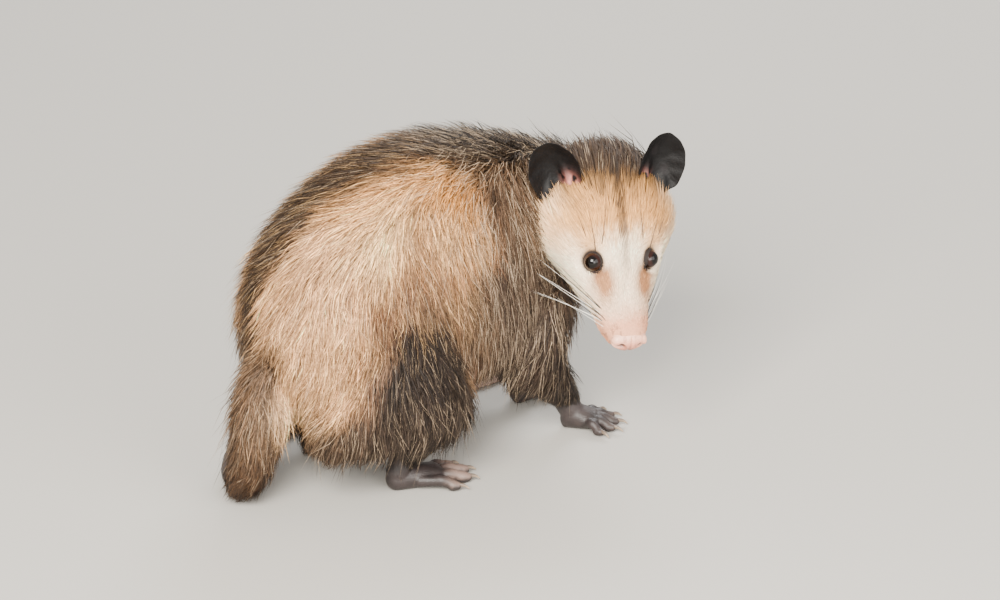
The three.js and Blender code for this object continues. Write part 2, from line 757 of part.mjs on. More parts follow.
// Depth of the core's surface under the tips of the coat, on the trunk and on the limbs
const TRUNK_CORE = -(1 - COAT_CORE) * COAT_DEPTH;
const LIMB_CORE = TRUNK_CORE * 0.6;
const TIP_RISE = 4;              // the tips of the trunk's locks stand this far outside the envelope
const LIMB_CUT = 8;              // the cut round a limb runs this far outside its envelope
const CUTTER_SIDES = 8;
const hands = [['right', 1], ['left', -1]];
const hind = Object.fromEntries(hands.map(([name, hand]) => [name, hindForms(hand)]));
const fore = Object.fromEntries(hands.map(([name, hand]) => [name, foreForms(hand)]));
const headClear = head.solid(HEAD_STEPS, GAP);
const earClear = joined(hands.map(([, hand]) => earSolid(hand, GAP + 0.2)));

const trunkCoat = {
  length: 63, width: 38, thick: 5, along: 40, across: 33, veer: 0.22,
  base: TRUNK_CORE, lift: -TRUNK_CORE + TIP_RISE, loose: 0.35, sag: 0.1,
  lie: lieFrom(BACKWARD, 0.42, 0.18), reach: [-0.8, 6.4], round: [-2.3, 2.3], lowest: 44,
  clear: [...hands.flatMap(([name]) => [[hind[name].thigh, 2], [fore[name].arm, 8]]), [neck, -8], [head, -4]],
};
const neckCoat = {
  ...trunkCoat,
  length: 54, width: 33, along: 35, across: 28,
  lie: lieFrom(MANE_BACKWARD, 0.75, 0.1), reach: [-0.2, 2.5], round: [-2.6, 2.6], lowest: 96,
  clear: [[head, -2], [trunk, -16], ...hands.map(([name]) => [fore[name].arm, -6])],
};
const thighCoat = {
  ...trunkCoat,
  length: 62, width: 44, along: 54, across: 43,
  base: LIMB_CORE, lift: -LIMB_CORE, loose: 0.3,
  lie: lieFrom(BACKWARD, 0.3, 0.6), reach: [-0.6, 2.6], lowest: 30,
};
const armCoat = { ...thighCoat, length: 50, width: 36, thick: 4.6, along: 50, across: 38, lowest: 62 };
const tailCoat = {
  ...thighCoat,
  length: 48, width: 26, thick: 4, along: 40, across: 27, base: -5, lift: 5,
  lie: () => vec(-0.25, -0.2, -1), reach: [0.9, 3.9], lowest: 26, clear: [[trunk, -9]],
};

const TAIL_FUR_END = 4.6;
const tailRoot = new Form({
  stations: TAIL_STATIONS.slice(0, 6),
  capStart: 14,
  capEnd: 4,
  sides: TAIL_SIDES,
  ref: tail.ref,
});

let body = joined([
  trunk.solid(10, TRUNK_CORE, 2, 20),
  neck.solid(3, TRUNK_CORE, 2, 16),
  ...coatOf(trunk, trunkCoat),
  ...coatOf(neck, neckCoat),
  ...hands.flatMap(([name, hand]) => {
    const { thigh } = hind[name];
    const { arm } = fore[name];
    const outer = { round: hand > 0 ? [0, Math.PI] : [Math.PI, 2 * Math.PI] };
    return [
      thigh.solid(3, LIMB_CORE, 2),
      arm.solid(3, LIMB_CORE, 2),
      ...coatOf(thigh, { ...thighCoat, ...outer, clear: [[trunk, -12], [hind[name].shank, 0]] }),
      ...coatOf(arm, { ...armCoat, ...outer, clear: [[trunk, -12], [neck, -12], [fore[name].forearm, 0]] }),
    ];
  }),
  tailRoot.solid(7, -5),
  ...coatOf(tailRoot, tailCoat),
]);
const lowerLimbs = hands.flatMap(([name]) => [
  hind[name].shank.solid(4, GAP, 2),
  fore[name].forearm.solid(4, GAP, 2),
]);
body = aboveFloor(body.subtract(joined([headClear, earClear])));

// Takes a part out of the body with a cutter shape, leaving the gap round it
function take(form, steps, grow) {
  const part = body.intersect(form.solid(steps, grow, 2, CUTTER_SIDES));
  body = body.subtract(form.solid(steps, grow + GAP, 2, CUTTER_SIDES));
  return part;
}

const furEnd = [tail.centre(TAIL_FUR_END), tail.frame(TAIL_FUR_END).heading];
keep('tail_root', parted(take(tailRoot, 5, LIMB_CUT), ...furEnd)[0], COLOURS.cream);

hands.forEach(([name, hand]) => {
  const { thigh, shank } = hind[name];
  const { arm, forearm } = fore[name];
  const hindLower = aboveFloor(joined([shank.solid(4, 0, 2), hindFoot(hand)]))
    .subtract(thigh.solid(3, LIMB_CORE + GAP, 2));
  const foreLower = aboveFloor(joined([forearm.solid(4, 0, 2), foreFoot(hand)]))
    .subtract(arm.solid(3, LIMB_CORE + GAP, 2));
  keep(`thigh_${name}`, take(thigh, 2, LIMB_CUT).subtract(shank.solid(4, GAP, 2)), COLOURS.grey);
  keep(`upper_arm_${name}`, take(arm, 2, LIMB_CUT).subtract(forearm.solid(4, GAP, 2)), COLOURS.grey);
  const [upperHind, footHind] = parted(hindLower, vec(...hindPlace('hock', hand)), vec(0, 0, -1));
  const [upperFore, footFore] = parted(foreLower, vec(...forePlace('wrist', hand)), vec(0, 0, -1));
  keep(`shank_${name}`, upperHind, COLOURS.dark);
  keep(`hind_foot_${name}`, footHind, COLOURS.dark);
  keep(`forearm_${name}`, upperFore, COLOURS.dark);
  keep(`fore_foot_${name}`, footFore, COLOURS.dark);
});
body = body.subtract(joined(lowerLimbs));

// The naked lengths of the tail part across its line
let tailRest = parted(aboveFloor(tail.solid(32)), ...furEnd)[1];
TAIL_CUTS.forEach(({ u, name }) => {
  const [near, far] = parted(tailRest, tail.centre(u), tail.frame(u).heading);
  keep(name, near, COLOURS.scale);
  tailRest = far;
});
keep('tail_end', tailRest, COLOURS.scale);

keep('head', buildHead(), COLOURS.face);
keep('nose', buildNose(), COLOURS.pink);
hands.forEach(([name, hand]) => {
  keep(`eye_${name}`, ball(eyePlace(hand), EYE_RADIUS), COLOURS.eye);
  keep(`ear_${name}`, earSolid(hand).subtract(headClear), COLOURS.leather);
});

// Lengths of the trunk: planes across the heading at named stations
const TRUNK_CUTS = [
  { between: ['pelvis', 'loin'], name: 'rump' },
  { between: ['back', 'ribs'], name: 'loin' },
];
let rest = body;
TRUNK_CUTS.forEach(({ between, name }) => {
  const [a, b] = between.map((q) => TRUNK_SECTIONS.findIndex((section) => section.name === q));
  const u = (a + b) / 2;
  const [back, front] = parted(rest, trunk.centre(u), trunk.frame(u).heading);
  keep(name, back, COLOURS.cream);
  rest = front;
});
const NECK_CUT = { through: vec(84, 110, 150), facing: vec(0.85, 0, 0.52) };
const [chestPart, neckPart] = parted(rest, NECK_CUT.through, NECK_CUT.facing);
keep('chest', chestPart, COLOURS.grey);
keep('neck', neckPart, COLOURS.grey);

const model = new THREE.Group();
nodes.forEach(({ solid, colour }, name) => {
  const { vertProperties, triVerts } = solid.getMesh();
  const geometry = new THREE.BufferGeometry();
  geometry.setAttribute('position', new THREE.BufferAttribute(new Float32Array(vertProperties), 3));
  geometry.setIndex(new THREE.BufferAttribute(new Uint32Array(triVerts), 1));
  const mesh = new THREE.Mesh(geometry, colour.clone());
  mesh.name = name;
  model.add(mesh);
});

// Origin under the middle of the bounding box, on the floor
const box = new THREE.Box3().setFromObject(model);
const middle = box.getCenter(new THREE.Vector3());
model.children.forEach((mesh) => mesh.position.set(-middle.x, -middle.y, -box.min.z));

export default model;
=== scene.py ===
"""A life-size opossum: skin, head, ears, eyes, feet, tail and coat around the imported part."""

import math

import bpy
import numpy as np
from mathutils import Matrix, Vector
from mathutils.bvhtree import BVHTree
from mathutils.kdtree import KDTree


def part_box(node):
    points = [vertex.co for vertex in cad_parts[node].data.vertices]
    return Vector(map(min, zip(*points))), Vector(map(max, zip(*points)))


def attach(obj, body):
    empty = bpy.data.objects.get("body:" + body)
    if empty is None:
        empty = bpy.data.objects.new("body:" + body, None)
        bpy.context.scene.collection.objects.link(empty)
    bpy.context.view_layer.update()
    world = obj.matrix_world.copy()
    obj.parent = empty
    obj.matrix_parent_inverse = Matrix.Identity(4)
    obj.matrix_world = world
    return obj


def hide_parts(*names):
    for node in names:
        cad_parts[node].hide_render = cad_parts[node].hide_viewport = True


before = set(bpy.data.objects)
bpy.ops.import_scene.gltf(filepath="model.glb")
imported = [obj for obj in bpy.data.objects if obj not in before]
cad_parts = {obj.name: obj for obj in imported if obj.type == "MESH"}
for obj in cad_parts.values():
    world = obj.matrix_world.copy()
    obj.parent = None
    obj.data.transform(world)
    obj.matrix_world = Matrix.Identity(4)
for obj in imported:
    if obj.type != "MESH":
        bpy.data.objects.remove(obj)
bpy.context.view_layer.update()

MM = 0.001
SEED = 20417
COAT_SHARE = 1.0
rng = np.random.default_rng(SEED)


# ---- small maths ------------------------------------------------------------------------------


def rad(degrees):
    return degrees * math.pi / 180


def mix(a, b, f):
    return a + (b - a) * f


def smooth(low, high, x):
    """0 below low, 1 above high, eased between (either order)."""
    f = np.clip((x - low) / (high - low), 0, 1)
    return f * f * (3 - 2 * f)


def unit(v):
    return v / np.maximum(np.linalg.norm(v, axis=-1, keepdims=True), 1e-9)


def dot(a, b):
    return (a * b).sum(-1, keepdims=True)


def turned(v, axis, angle):
    """Vectors turned about unit axes by angles, one each."""
    c, s = np.cos(angle)[..., None], np.sin(angle)[..., None]
    return v * c + np.cross(axis, v) * s + axis * dot(axis, v) * (1 - c)


def lattice(i, j, k, seed):
    """A repeatable number from -1 to 1 for each corner of a grid, by an integer hash."""
    h = (i * 374761393 + j * 668265263 + k * 2147483647 + seed * 1274126177) & 0xFFFFFFFF
    h = ((h ^ (h >> 13)) * 1274126177) & 0xFFFFFFFF
    h = ((h ^ (h >> 16)) * 2246822519) & 0xFFFFFFFF
    return ((h ^ (h >> 15)) & 0xFFFF) / 65535.0 * 2 - 1


def noise(p, size, seed=1):
    """Smooth noise from -1 to 1 over places in millimetres, with blobs of the given size."""
    q = np.asarray(p, float) / size
    cell = np.floor(q).astype(np.int64)
    f = q - cell
    f = f * f * (3 - 2 * f)
    total = 0
    for corner in np.ndindex(2, 2, 2):
        weight = np.where(corner, f, 1 - f)
        i, j, k = (cell[..., axis] + corner[axis] for axis in range(3))
        total = total + lattice(i, j, k, seed) * weight[..., 0] * weight[..., 1] * weight[..., 2]
    return total


def along(values, u):
    """Smooth value through a list, where u counts the stations."""
    values = np.asarray(values, float)
    last = len(values) - 1
    u = np.asarray(u, float)
    k = np.clip(np.floor(u).astype(int), 0, last - 1)
    f = (u - k)[..., None]
    p1, p2 = values[k], values[k + 1]
    p0 = np.where((k > 0)[..., None], values[np.maximum(k - 1, 0)], 2 * p1 - p2)
    p3 = np.where((k + 2 <= last)[..., None], values[np.minimum(k + 2, last)], 2 * p2 - p1)
    cubic = 2 * p0 - 5 * p1 + 4 * p2 - p3 + f * (3 * (p1 - p2) + p3 - p0)
    return p1 + 0.5 * f * (p2 - p0 + f * cubic)


class Form:
    """A closed body swept through stations (x, y, z, wide, up, down), rounded off at both ends.

    The angle t runs round the section: 0 on top, 90 degrees on the right of the heading."""

    def __init__(self, stations, caps, ref=(0, 0, 1), level=False, square=1.0):
        rows = [(*s[:4], s[4 if len(s) > 4 else 3], s[-1]) for s in stations]
        self.rows = np.array(rows, float)
        self.last = len(rows) - 1
        self.cap_start, self.cap_end = caps
        self.ref = np.array(ref, float)
        self.level = level
        self.square = square

    def centre(self, u):
        return along(self.rows[:, :3], np.clip(u, 0, self.last))

    def frame(self, u):
        step = 0.02
        a = np.clip(np.asarray(u, float), 0, self.last)
        ahead = self.centre(np.minimum(a + step, self.last))
        heading = ahead - self.centre(np.maximum(a - step, 0))
        if self.level:
            heading[..., 2] = 0
        heading = unit(heading)
        side = unit(np.cross(heading, np.broadcast_to(self.ref, heading.shape)))
        return heading, side, unit(np.cross(side, heading))

    def point(self, u, t, grow=0.0):
        u, t = np.broadcast_arrays(np.asarray(u, float), np.asarray(t, float))
        a = np.clip(u, 0, self.last)
        heading, side, up = self.frame(a)
        past = np.where(u < 0, u, np.maximum(0, u - self.last))
        cap = np.where(past < 0, self.cap_start, self.cap_end) + grow
        turn = np.clip(past, -1, 1) * math.pi / 2
        scale = np.cos(turn)
        c, s = np.cos(t), np.sin(t)
        size = along(self.rows[:, 3:], a)
        high = np.where(c > 0, size[..., 1], size[..., 2])
        e = self.square
        lateral = np.sign(s) * np.abs(s) ** e * (size[..., 0] + grow) * scale
        vertical = np.sign(c) * np.abs(c) ** e * (high + grow) * scale
        place = self.centre(a) + heading * (cap * np.sin(turn))[..., None]
        return place + side * lateral[..., None] + up * vertical[..., None]

    def shell(self, steps, sides, grow=0.0, caps=5):
        """Vertices and faces of the closed surface."""
        levels = [-1 + k / caps for k in range(1, caps)]
        levels += [k * self.last / steps for k in range(steps + 1)]
        levels += [self.last + k / caps for k in range(1, caps)]
        u, t = np.meshgrid(levels, np.arange(sides) * 2 * math.pi / sides, indexing="ij")
        rings = self.point(u, t, grow)
        ends = self.point(np.array([-1.0, self.last + 1.0]), np.zeros(2), grow)
        return lofted(rings, ends[0], ends[1])


def lofted(rings, first, last):
    """A closed skin over rings of points and two poles."""
    rows, n = rings.shape[:2]
    verts = np.concatenate([first[None], rings.reshape(-1, 3), last[None]])
    k = np.arange(n)
    after = (k + 1) % n
    faces = [[0, 1 + b, 1 + a] for a, b in zip(k, after)]
    for r in range(rows - 1):
        low, high = 1 + r * n, 1 + (r + 1) * n
        faces += [[low + a, low + b, high + b, high + a] for a, b in zip(k, after)]
    end = len(verts) - 1
    low = 1 + (rows - 1) * n
    faces += [[end, low + a, low + b] for a, b in zip(k, after)]
    return verts, faces


# ---- the animal's measures, in millimetres, as on the floor plan ------------------------------

HEAD_PITCH, HEAD_YAW, HEAD_ROLL = 47, 15, 9
SKULL_BACK = np.array([113.5, 99, 187])
EYE_RADIUS = 6.6
EAR_LENGTH, EAR_WIDTH = 46, 36
TRUNK_DEPTH = 12.0
LIMB_DEPTH = 8.0

head_axis = np.array([
    math.cos(rad(HEAD_PITCH)) * math.sin(rad(HEAD_YAW)),
    -math.cos(rad(HEAD_PITCH)) * math.cos(rad(HEAD_YAW)),
    -math.sin(rad(HEAD_PITCH)),
])
level_right = unit(np.cross(head_axis, [0, 0, 1]))
head_right = turned(level_right, head_axis, np.array(-rad(HEAD_ROLL)))
head_up = unit(np.cross(head_right, head_axis))


def in_head(s, r, u):
    s, r, u = (np.asarray(q, float)[..., None] for q in (s, r, u))
    return SKULL_BACK + head_axis * s + head_right * r + head_up * u


def to_head(p):
    """Places in the head: along the face, to the animal's right, and up."""
    q = p - SKULL_BACK
    return q @ head_axis, q @ head_right, q @ head_up


HEAD_SECTIONS = [
    (0, 33, 26, 33), (14, 40, 31, 37), (30, 46.6, 32, 38), (46, 44, 29.5, 36), (60, 38, 25.5, 31),
    (74, 31, 21, 26), (88, 24, 16.8, 20.5), (101, 18.8, 14, 15.8), (112, 15.2, 12.2, 12.4),
    (118, 13.8, 11.2, 9.4),
]
HEAD_PLACES = [section[0] for section in HEAD_SECTIONS]
head = Form([(*in_head(s, 0, 0), wide, up, down) for s, wide, up, down in HEAD_SECTIONS],
            (16, 5), ref=head_up, square=0.94)
EYE = {"s": 66, "side": 20.5, "up": 15.2, "out": (0.36, 0.58, 0.74)}


def eye_place(hand):
    return in_head(EYE["s"], hand * EYE["side"], EYE["up"])


def eye_out(hand):
    a, b, c = EYE["out"]
    return unit(head_axis * a + head_right * hand * b + head_up * c)


def eye_axes(hand):
    """The ways out of an eye, ahead along the face, and over."""
    out = eye_out(hand)
    ahead = unit(head_axis - out * (head_axis @ out))
    return out, ahead, unit(np.cross(out, ahead)) * hand


TRUNK_SECTIONS = [
    (-101, -14, 168, 74, 46), (-84, -1, 200, 44, 62), (-55, 20, 223, 36, 72), (-20, 48, 234, 40, 74),
    (13, 74, 232, 43, 70), (41, 94, 225, 46, 60), (62, 106, 217, 54, 50), (80, 112, 208, 72, 42),
]
trunk_rows = []
for x, y, top, bottom, half in TRUNK_SECTIONS:
    middle = mix(bottom, top, 0.46)
    trunk_rows.append((x, y, middle, half, top - middle, middle - bottom))
trunk = Form(trunk_rows, (18, 20), level=True, square=0.92)
neck = Form([(64, 106, 150, 47, 62, 56), (86, 109, 157, 46, 58, 52), (108, 110, 168, 44, 46, 46)],
            (12, 18))

PELVIS = (-55, 20, 38)
SHOULDERS = (66, 109, 25)
HIND = {"hip": (-12, 39, 96), "thigh": (14, 45, 80), "knee": (39, 50, 66), "shank": (29, 46, 42),
        "hock": (15, 40, 21), "heel": (11, 39, 9)}
FORE = {"shoulder": (-2, 27, 112), "arm": (-12, 30, 90), "elbow": (-16, 31, 66),
        "forearm": (2, 28, 43), "wrist": (22, 26, 22)}
STAGGER = {"hip": 0, "thigh": -6, "knee": -12, "shank": -12, "hock": -12, "heel": -12,
           "shoulder": 0, "arm": -6, "elbow": -11, "forearm": -14, "wrist": -14}
HANDS = (("right", 1), ("left", -1))


def limb_place(girdle, table, name, hand):
    x, y, heading = girdle
    ahead, aside, height = table[name]
    ahead += STAGGER[name] if hand < 0 else 0
    c, s = math.cos(rad(heading)), math.sin(rad(heading))
    return (x + ahead * c + hand * aside * s, y + ahead * s - hand * aside * c, height)


def limb_forms(hand):
    def hind(name, *size):
        return (*limb_place(PELVIS, HIND, name, hand), *size)

    def fore(name, *size):
        return (*limb_place(SHOULDERS, FORE, name, hand), *size)

    return {
        "thigh": Form([hind("hip", 34, 50, 72), hind("thigh", 33, 44, 60), hind("knee", 27, 31, 38)],
                      (26, 20)),
        "shank": Form([hind("knee", 19, 24), hind("shank", 15, 19), hind("hock", 9.5, 10),
                       hind("heel", 8, 8)], (8, 6), ref=(1, 0.8, 0)),
        "arm": Form([fore("shoulder", 29, 34), fore("arm", 28, 32), fore("elbow", 24, 32)], (18, 15),
                    ref=(0.9, 0.4, 0)),
        "forearm": Form([fore("elbow", 16, 19), fore("forearm", 13, 15), fore("wrist", 9.5, 9.5)],
                        (8, 7), ref=(0.6, 0, 0.8)),
    }


limbs = {name: limb_forms(hand) for name, hand in HANDS}

TAIL_STATIONS = [
    (-86, -2, 112, 22), (-103, -16, 92, 22), (-114, -26, 68, 20), (-119, -31, 42, 17.5),
    (-124, -27, 20, 14.5), (-131, -9, 10.8, 11.2), (-132, 18, 10, 10.4), (-125, 48, 9.3, 9.7),
    (-108, 78, 8.5, 8.9), (-83, 103, 7.7, 8.1), (-54, 122, 6.9, 7.3), (-23, 137, 6, 6.4),
    (9, 150, 5, 5.4), (39, 165, 4, 4.4), (60, 186, 2.9, 3.3),
]
TAIL_REF = (0.75, -0.65, 0)
tail = Form(TAIL_STATIONS, (14, 4), ref=TAIL_REF)
tail_root = Form(TAIL_STATIONS[:6], (14, 4), ref=TAIL_REF)
TAIL_FUR_END = 4.6

HIND_TOES = [(-27, 21, 22, 4.1), (-10, 24, 27, 4.3), (4, 25, 28, 4.3), (18, 23, 25, 4.1)]
HIND_THUMB = (74, 10, 22, 4.4)
FORE_TOES = [(-46, 9, 17, 3.7), (-22, 9, 20, 3.7), (0, 9, 21, 3.7), (22, 9, 20, 3.7), (46, 9, 17, 3.7)]
TURN_OUT = {"hind": 16, "fore": 24}

low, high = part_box("eye_right")
shift = np.array((low + high) / 2) - eye_place(1) * MM


def placed(points):
    """Floor plan millimetres to the row's metres."""
    return np.asarray(points) * MM + shift


# ---- meshes and objects -----------------------------------------------------------------------


def deselect():
    bpy.ops.object.select_all(action="DESELECT")


def activate(obj):
    deselect()
    obj.select_set(True)
    bpy.context.view_layer.objects.active = obj


def mesh_object(name, verts, faces):
    """An object from vertices in metres and faces, as a list or as an array of equal faces."""
    mesh = bpy.data.meshes.new(name)
    if isinstance(faces, np.ndarray):
        count, corners = faces.shape
        starts = np.arange(0, count * corners, corners, dtype=np.int32)
        mesh.vertices.add(len(verts))
        mesh.vertices.foreach_set("co", np.asarray(verts, np.float32).ravel())
        mesh.loops.add(count * corners)
        mesh.loops.foreach_set("vertex_index", faces.astype(np.int32).ravel())
        mesh.polygons.add(count)
        mesh.polygons.foreach_set("loop_start", starts)
        mesh.update(calc_edges=True)
    else:
        mesh.from_pydata([tuple(v) for v in verts], [], faces)
        mesh.update()
    obj = bpy.data.objects.new(name, mesh)
    bpy.context.scene.collection.objects.link(obj)
    return obj


def joined_shells(name, shells):
    """One object from closed shells, given as vertices in millimetres and faces."""
    verts, faces, start = [], [], 0
    for v, f in shells:
        verts.append(v)
        faces += [[start + i for i in face] for face in f]
        start += len(v)
    return mesh_object(name, placed(np.concatenate(verts)), faces)


def apply_modifier(obj, kind, **settings):
    activate(obj)
    modifier = obj.modifiers.new(kind.title(), kind)
    for key, value in settings.items():
        setattr(modifier, key, value)
    bpy.ops.object.modifier_apply(modifier=modifier.name)


def fuse(obj, voxel, rounds, strength):
    """Joins overlapping shells into one skin and eases the creases between them."""
    apply_modifier(obj, "REMESH", mode="VOXEL", voxel_size=voxel, adaptivity=0)
    apply_modifier(obj, "SMOOTH", factor=strength, iterations=rounds)


def read(items, what, width=1, kind=np.int32):
    """One property of all vertices, corners or faces of a mesh."""
    values = np.zeros(len(items) * width, kind)
    items.foreach_get(what, values)
    return values.reshape(-1, width) if width > 1 else values


def vertices_of(obj):
    """The places of a mesh's vertices in metres."""
    return read(obj.data.vertices, "co", 3, np.float32).astype(float)


def normals_of(obj):
    return read(obj.data.vertices, "normal", 3, np.float32).astype(float)


def design_of(obj):
    """The places of a mesh's vertices in millimetres, as on the floor plan."""
    return (vertices_of(obj) - shift) / MM


def set_vertices(obj, points):
    obj.data.vertices.foreach_set("co", np.asarray(points, np.float32).ravel())
    obj.data.update()


def paint_vertices(obj, colours):
    rgba = np.ones((len(colours), 4), np.float32)
    rgba[:, :3] = colours
    layer = obj.data.color_attributes.new(name="tone", type="FLOAT_COLOR", domain="POINT")
    layer.data.foreach_set("color", rgba.ravel())


def shade_smooth(obj):
    obj.data.polygons.foreach_set("use_smooth", np.ones(len(obj.data.polygons), bool))
    obj.data.update()


def finish_piece(obj, material, nodes=()):
    """Gives a piece its finish and the nodes that it takes the place of."""
    obj.data.materials.clear()
    obj.data.materials.append(material)
    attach(obj, "root")
    if nodes:
        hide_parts(*nodes)


# ---- colours ----------------------------------------------------------------------------------


def srgb(r, g, b):
    c = np.array([r, g, b], float) / 255
    return np.where(c <= 0.04045, c / 12.92, ((c + 0.055) / 1.055) ** 2.4)


def blend(a, b, weight):
    weight = np.asarray(weight)[..., None]
    return a * (1 - weight) + b * weight


TONES = {
    "black": srgb(20, 16, 13), "dark": srgb(20, 16, 14), "umber": srgb(66, 45, 28),
    "mane": srgb(38, 28, 18), "slate": srgb(62, 49, 40), "grey_brown": srgb(82, 62, 45),
    "silver": srgb(194, 170, 142), "back": srgb(216, 157, 99), "flank": srgb(143, 95, 57),
    "cream": srgb(255, 207, 146), "amber": srgb(190, 128, 60), "beige": srgb(214, 162, 114),
    "white": srgb(255, 232, 200), "tan": srgb(208, 148, 80), "rust": srgb(162, 104, 58),
    "pink": srgb(220, 140, 102), "ring": srgb(40, 24, 17), "cheek": srgb(255, 222, 184),
    "fawn": srgb(250, 202, 152),
}

SPINE_LOOKS = np.linspace(-0.6, 7.6, 83)
spine_points = trunk.centre(SPINE_LOOKS)
spine_side = trunk.frame(SPINE_LOOKS)[1]
spine_size = along(trunk.rows[:, 3:], np.clip(SPINE_LOOKS, 0, trunk.last))


def beside_spine(p):
    """The nearest look along the spine in plan, and how far to its right and over it places lie."""
    plan = p[:, None, :2] - spine_points[None, :, :2]
    best = (plan ** 2).sum(-1).argmin(1)
    right = (plan[np.arange(len(p)), best] * spine_side[best, :2]).sum(-1)
    return best, right, p[:, 2] - spine_points[best, 2]


def on_trunk(p):
    """For places in millimetres: the share of the way from rump (0) to chest (1), the angle
    from the back line as a share of the way to the belly, and the distance to the right."""
    best, right, above = beside_spine(p)
    lateral = np.abs(right) / spine_size[best, 0]
    vertical = above / np.where(above > 0, spine_size[best, 1], spine_size[best, 2])
    share = np.clip(SPINE_LOOKS[best] / trunk.last, 0, 1)
    return share, np.arctan2(lateral, vertical) / math.pi, right


def spot(a, b, centre, size):
    """A soft round patch over two measures."""
    return np.exp(-((a - centre[0]) / size[0]) ** 2 - ((b - centre[1]) / size[1]) ** 2)


def beside(girdle, p, hand):
    """How far ahead of a girdle, and how far out from it on one side, places lie."""
    x, y, heading = girdle
    c, s = math.cos(rad(heading)), math.sin(rad(heading))
    q = p - np.array([x, y, 0])
    return q @ np.array([c, s, 0]), q @ np.array([s, -c, 0]) * hand


PALE_SPOT = np.array([-89.0, -27.0, 66.0])
PALE_SIZE = np.array([14.0, 44.0, 13.0])


def body_tone(p):
    """The coat's colour over the body and limbs, alike on both sides, with a painted highlight on the
    upper flank and painted shade in the dark band of the back.
    """
    length, drop, right = on_trunk(p)
    wander = 0.05 * noise(p, 34, 3)
    length, drop = length + wander, drop + 0.6 * wander
    patch = noise(p, 16, 5)
    tone = blend(TONES["flank"], TONES["cream"], 0.35 * smooth(-0.4, 0.8, patch))
    tone = blend(tone, TONES["back"], 0.8 * smooth(0.26, 0.16, drop))
    # Painted highlight: a cream spot on the upper flank over the hip, where the haunch catches the
    # light
    tone = blend(tone, TONES["cream"], 0.9 * spot(length, drop, (0.27, 0.24), (0.09, 0.06)))
    tone = blend(tone, TONES["amber"], 0.9 * spot(length, drop, (0.47, 0.23), (0.07, 0.07)))
    tone = blend(tone, TONES["beige"], 0.9 * smooth(0.24, 0.12, length))
    ahead = smooth(0.48, 0.59, length) * smooth(0.1, 0.2, drop)
    tone = blend(tone, TONES["grey_brown"], 0.95 * ahead)
    low_front = smooth(0.42, 0.5, length) * smooth(0.36, 0.44, drop) * smooth(0.8, 0.7, drop)
    tone = blend(tone, TONES["slate"], 0.75 * low_front)
    tone = blend(tone, TONES["mane"], 0.95 * smooth(0.44, 0.56, length) * smooth(0.22, 0.14, drop))
    # A dark band along the back line: partly the coat's own darker back, partly painted shade where the
    # far flank turns away from the light, so at the rump it lies towards the left side
    centre_line = right + mix(14, 0, smooth(0.1, 0.6, length)) + 5 * patch
    breadth = mix(0.34, 1.0, smooth(125, 200, p[:, 2]))
    ridge = smooth(34, 15, np.abs(centre_line) / breadth) * (p[:, 2] > 110)
    tone = blend(tone, TONES["mane"] * 0.8, 0.96 * ridge)
    tone = blend(tone, TONES["grey_brown"], 0.7 * smooth(0.7, 0.9, drop) * smooth(0.1, 0.3, length))
    for _, hand in HANDS:
        fore, out = beside(PELVIS, p, hand)
        near = np.sqrt(((fore - 14) / 40) ** 2 + ((p[:, 2] - 66) / 74) ** 2) + 0.12 * patch
        tone = blend(tone, TONES["slate"] * 1.5, 0.6 * smooth(1.5, 1.02, near) * smooth(8, 24, out))
        tone = blend(tone, TONES["dark"], 0.94 * smooth(1.14, 0.8, near) * smooth(14, 30, out))
        fringe = smooth(82, 62, p[:, 2] + 6 * patch) * smooth(4, 22, out) * smooth(-84, -66, fore)
        tone = blend(tone, TONES["slate"] * 0.62, 0.95 * fringe)
        fore, out = beside(SHOULDERS, p, hand)
        near = np.sqrt(((fore + 4) / 34) ** 2 + ((p[:, 2] - 66) / 52) ** 2) + 0.1 * patch
        tone = blend(tone, TONES["slate"] * 0.8, 0.85 * smooth(1.15, 0.6, near) * smooth(0, 20, out))
    low_leg = smooth(50, 30, p[:, 2]) * smooth(-84, -60, p[:, 0])
    tone = blend(tone, TONES["black"], low_leg * 0.85)
    behind = smooth(-92, -104, p[:, 0])
    tone = blend(tone, TONES["grey_brown"] * 0.7, 0.92 * behind * smooth(146, 104, p[:, 2] + 6 * patch))
    tone = blend(tone, TONES["umber"] * 0.7, 0.8 * behind * smooth(52, 26, p[:, 2]))
    pale = np.exp(-(np.linalg.norm((p - PALE_SPOT) / PALE_SIZE, axis=-1) ** 2))
    return blend(tone, TONES["fawn"], 0.95 * pale)


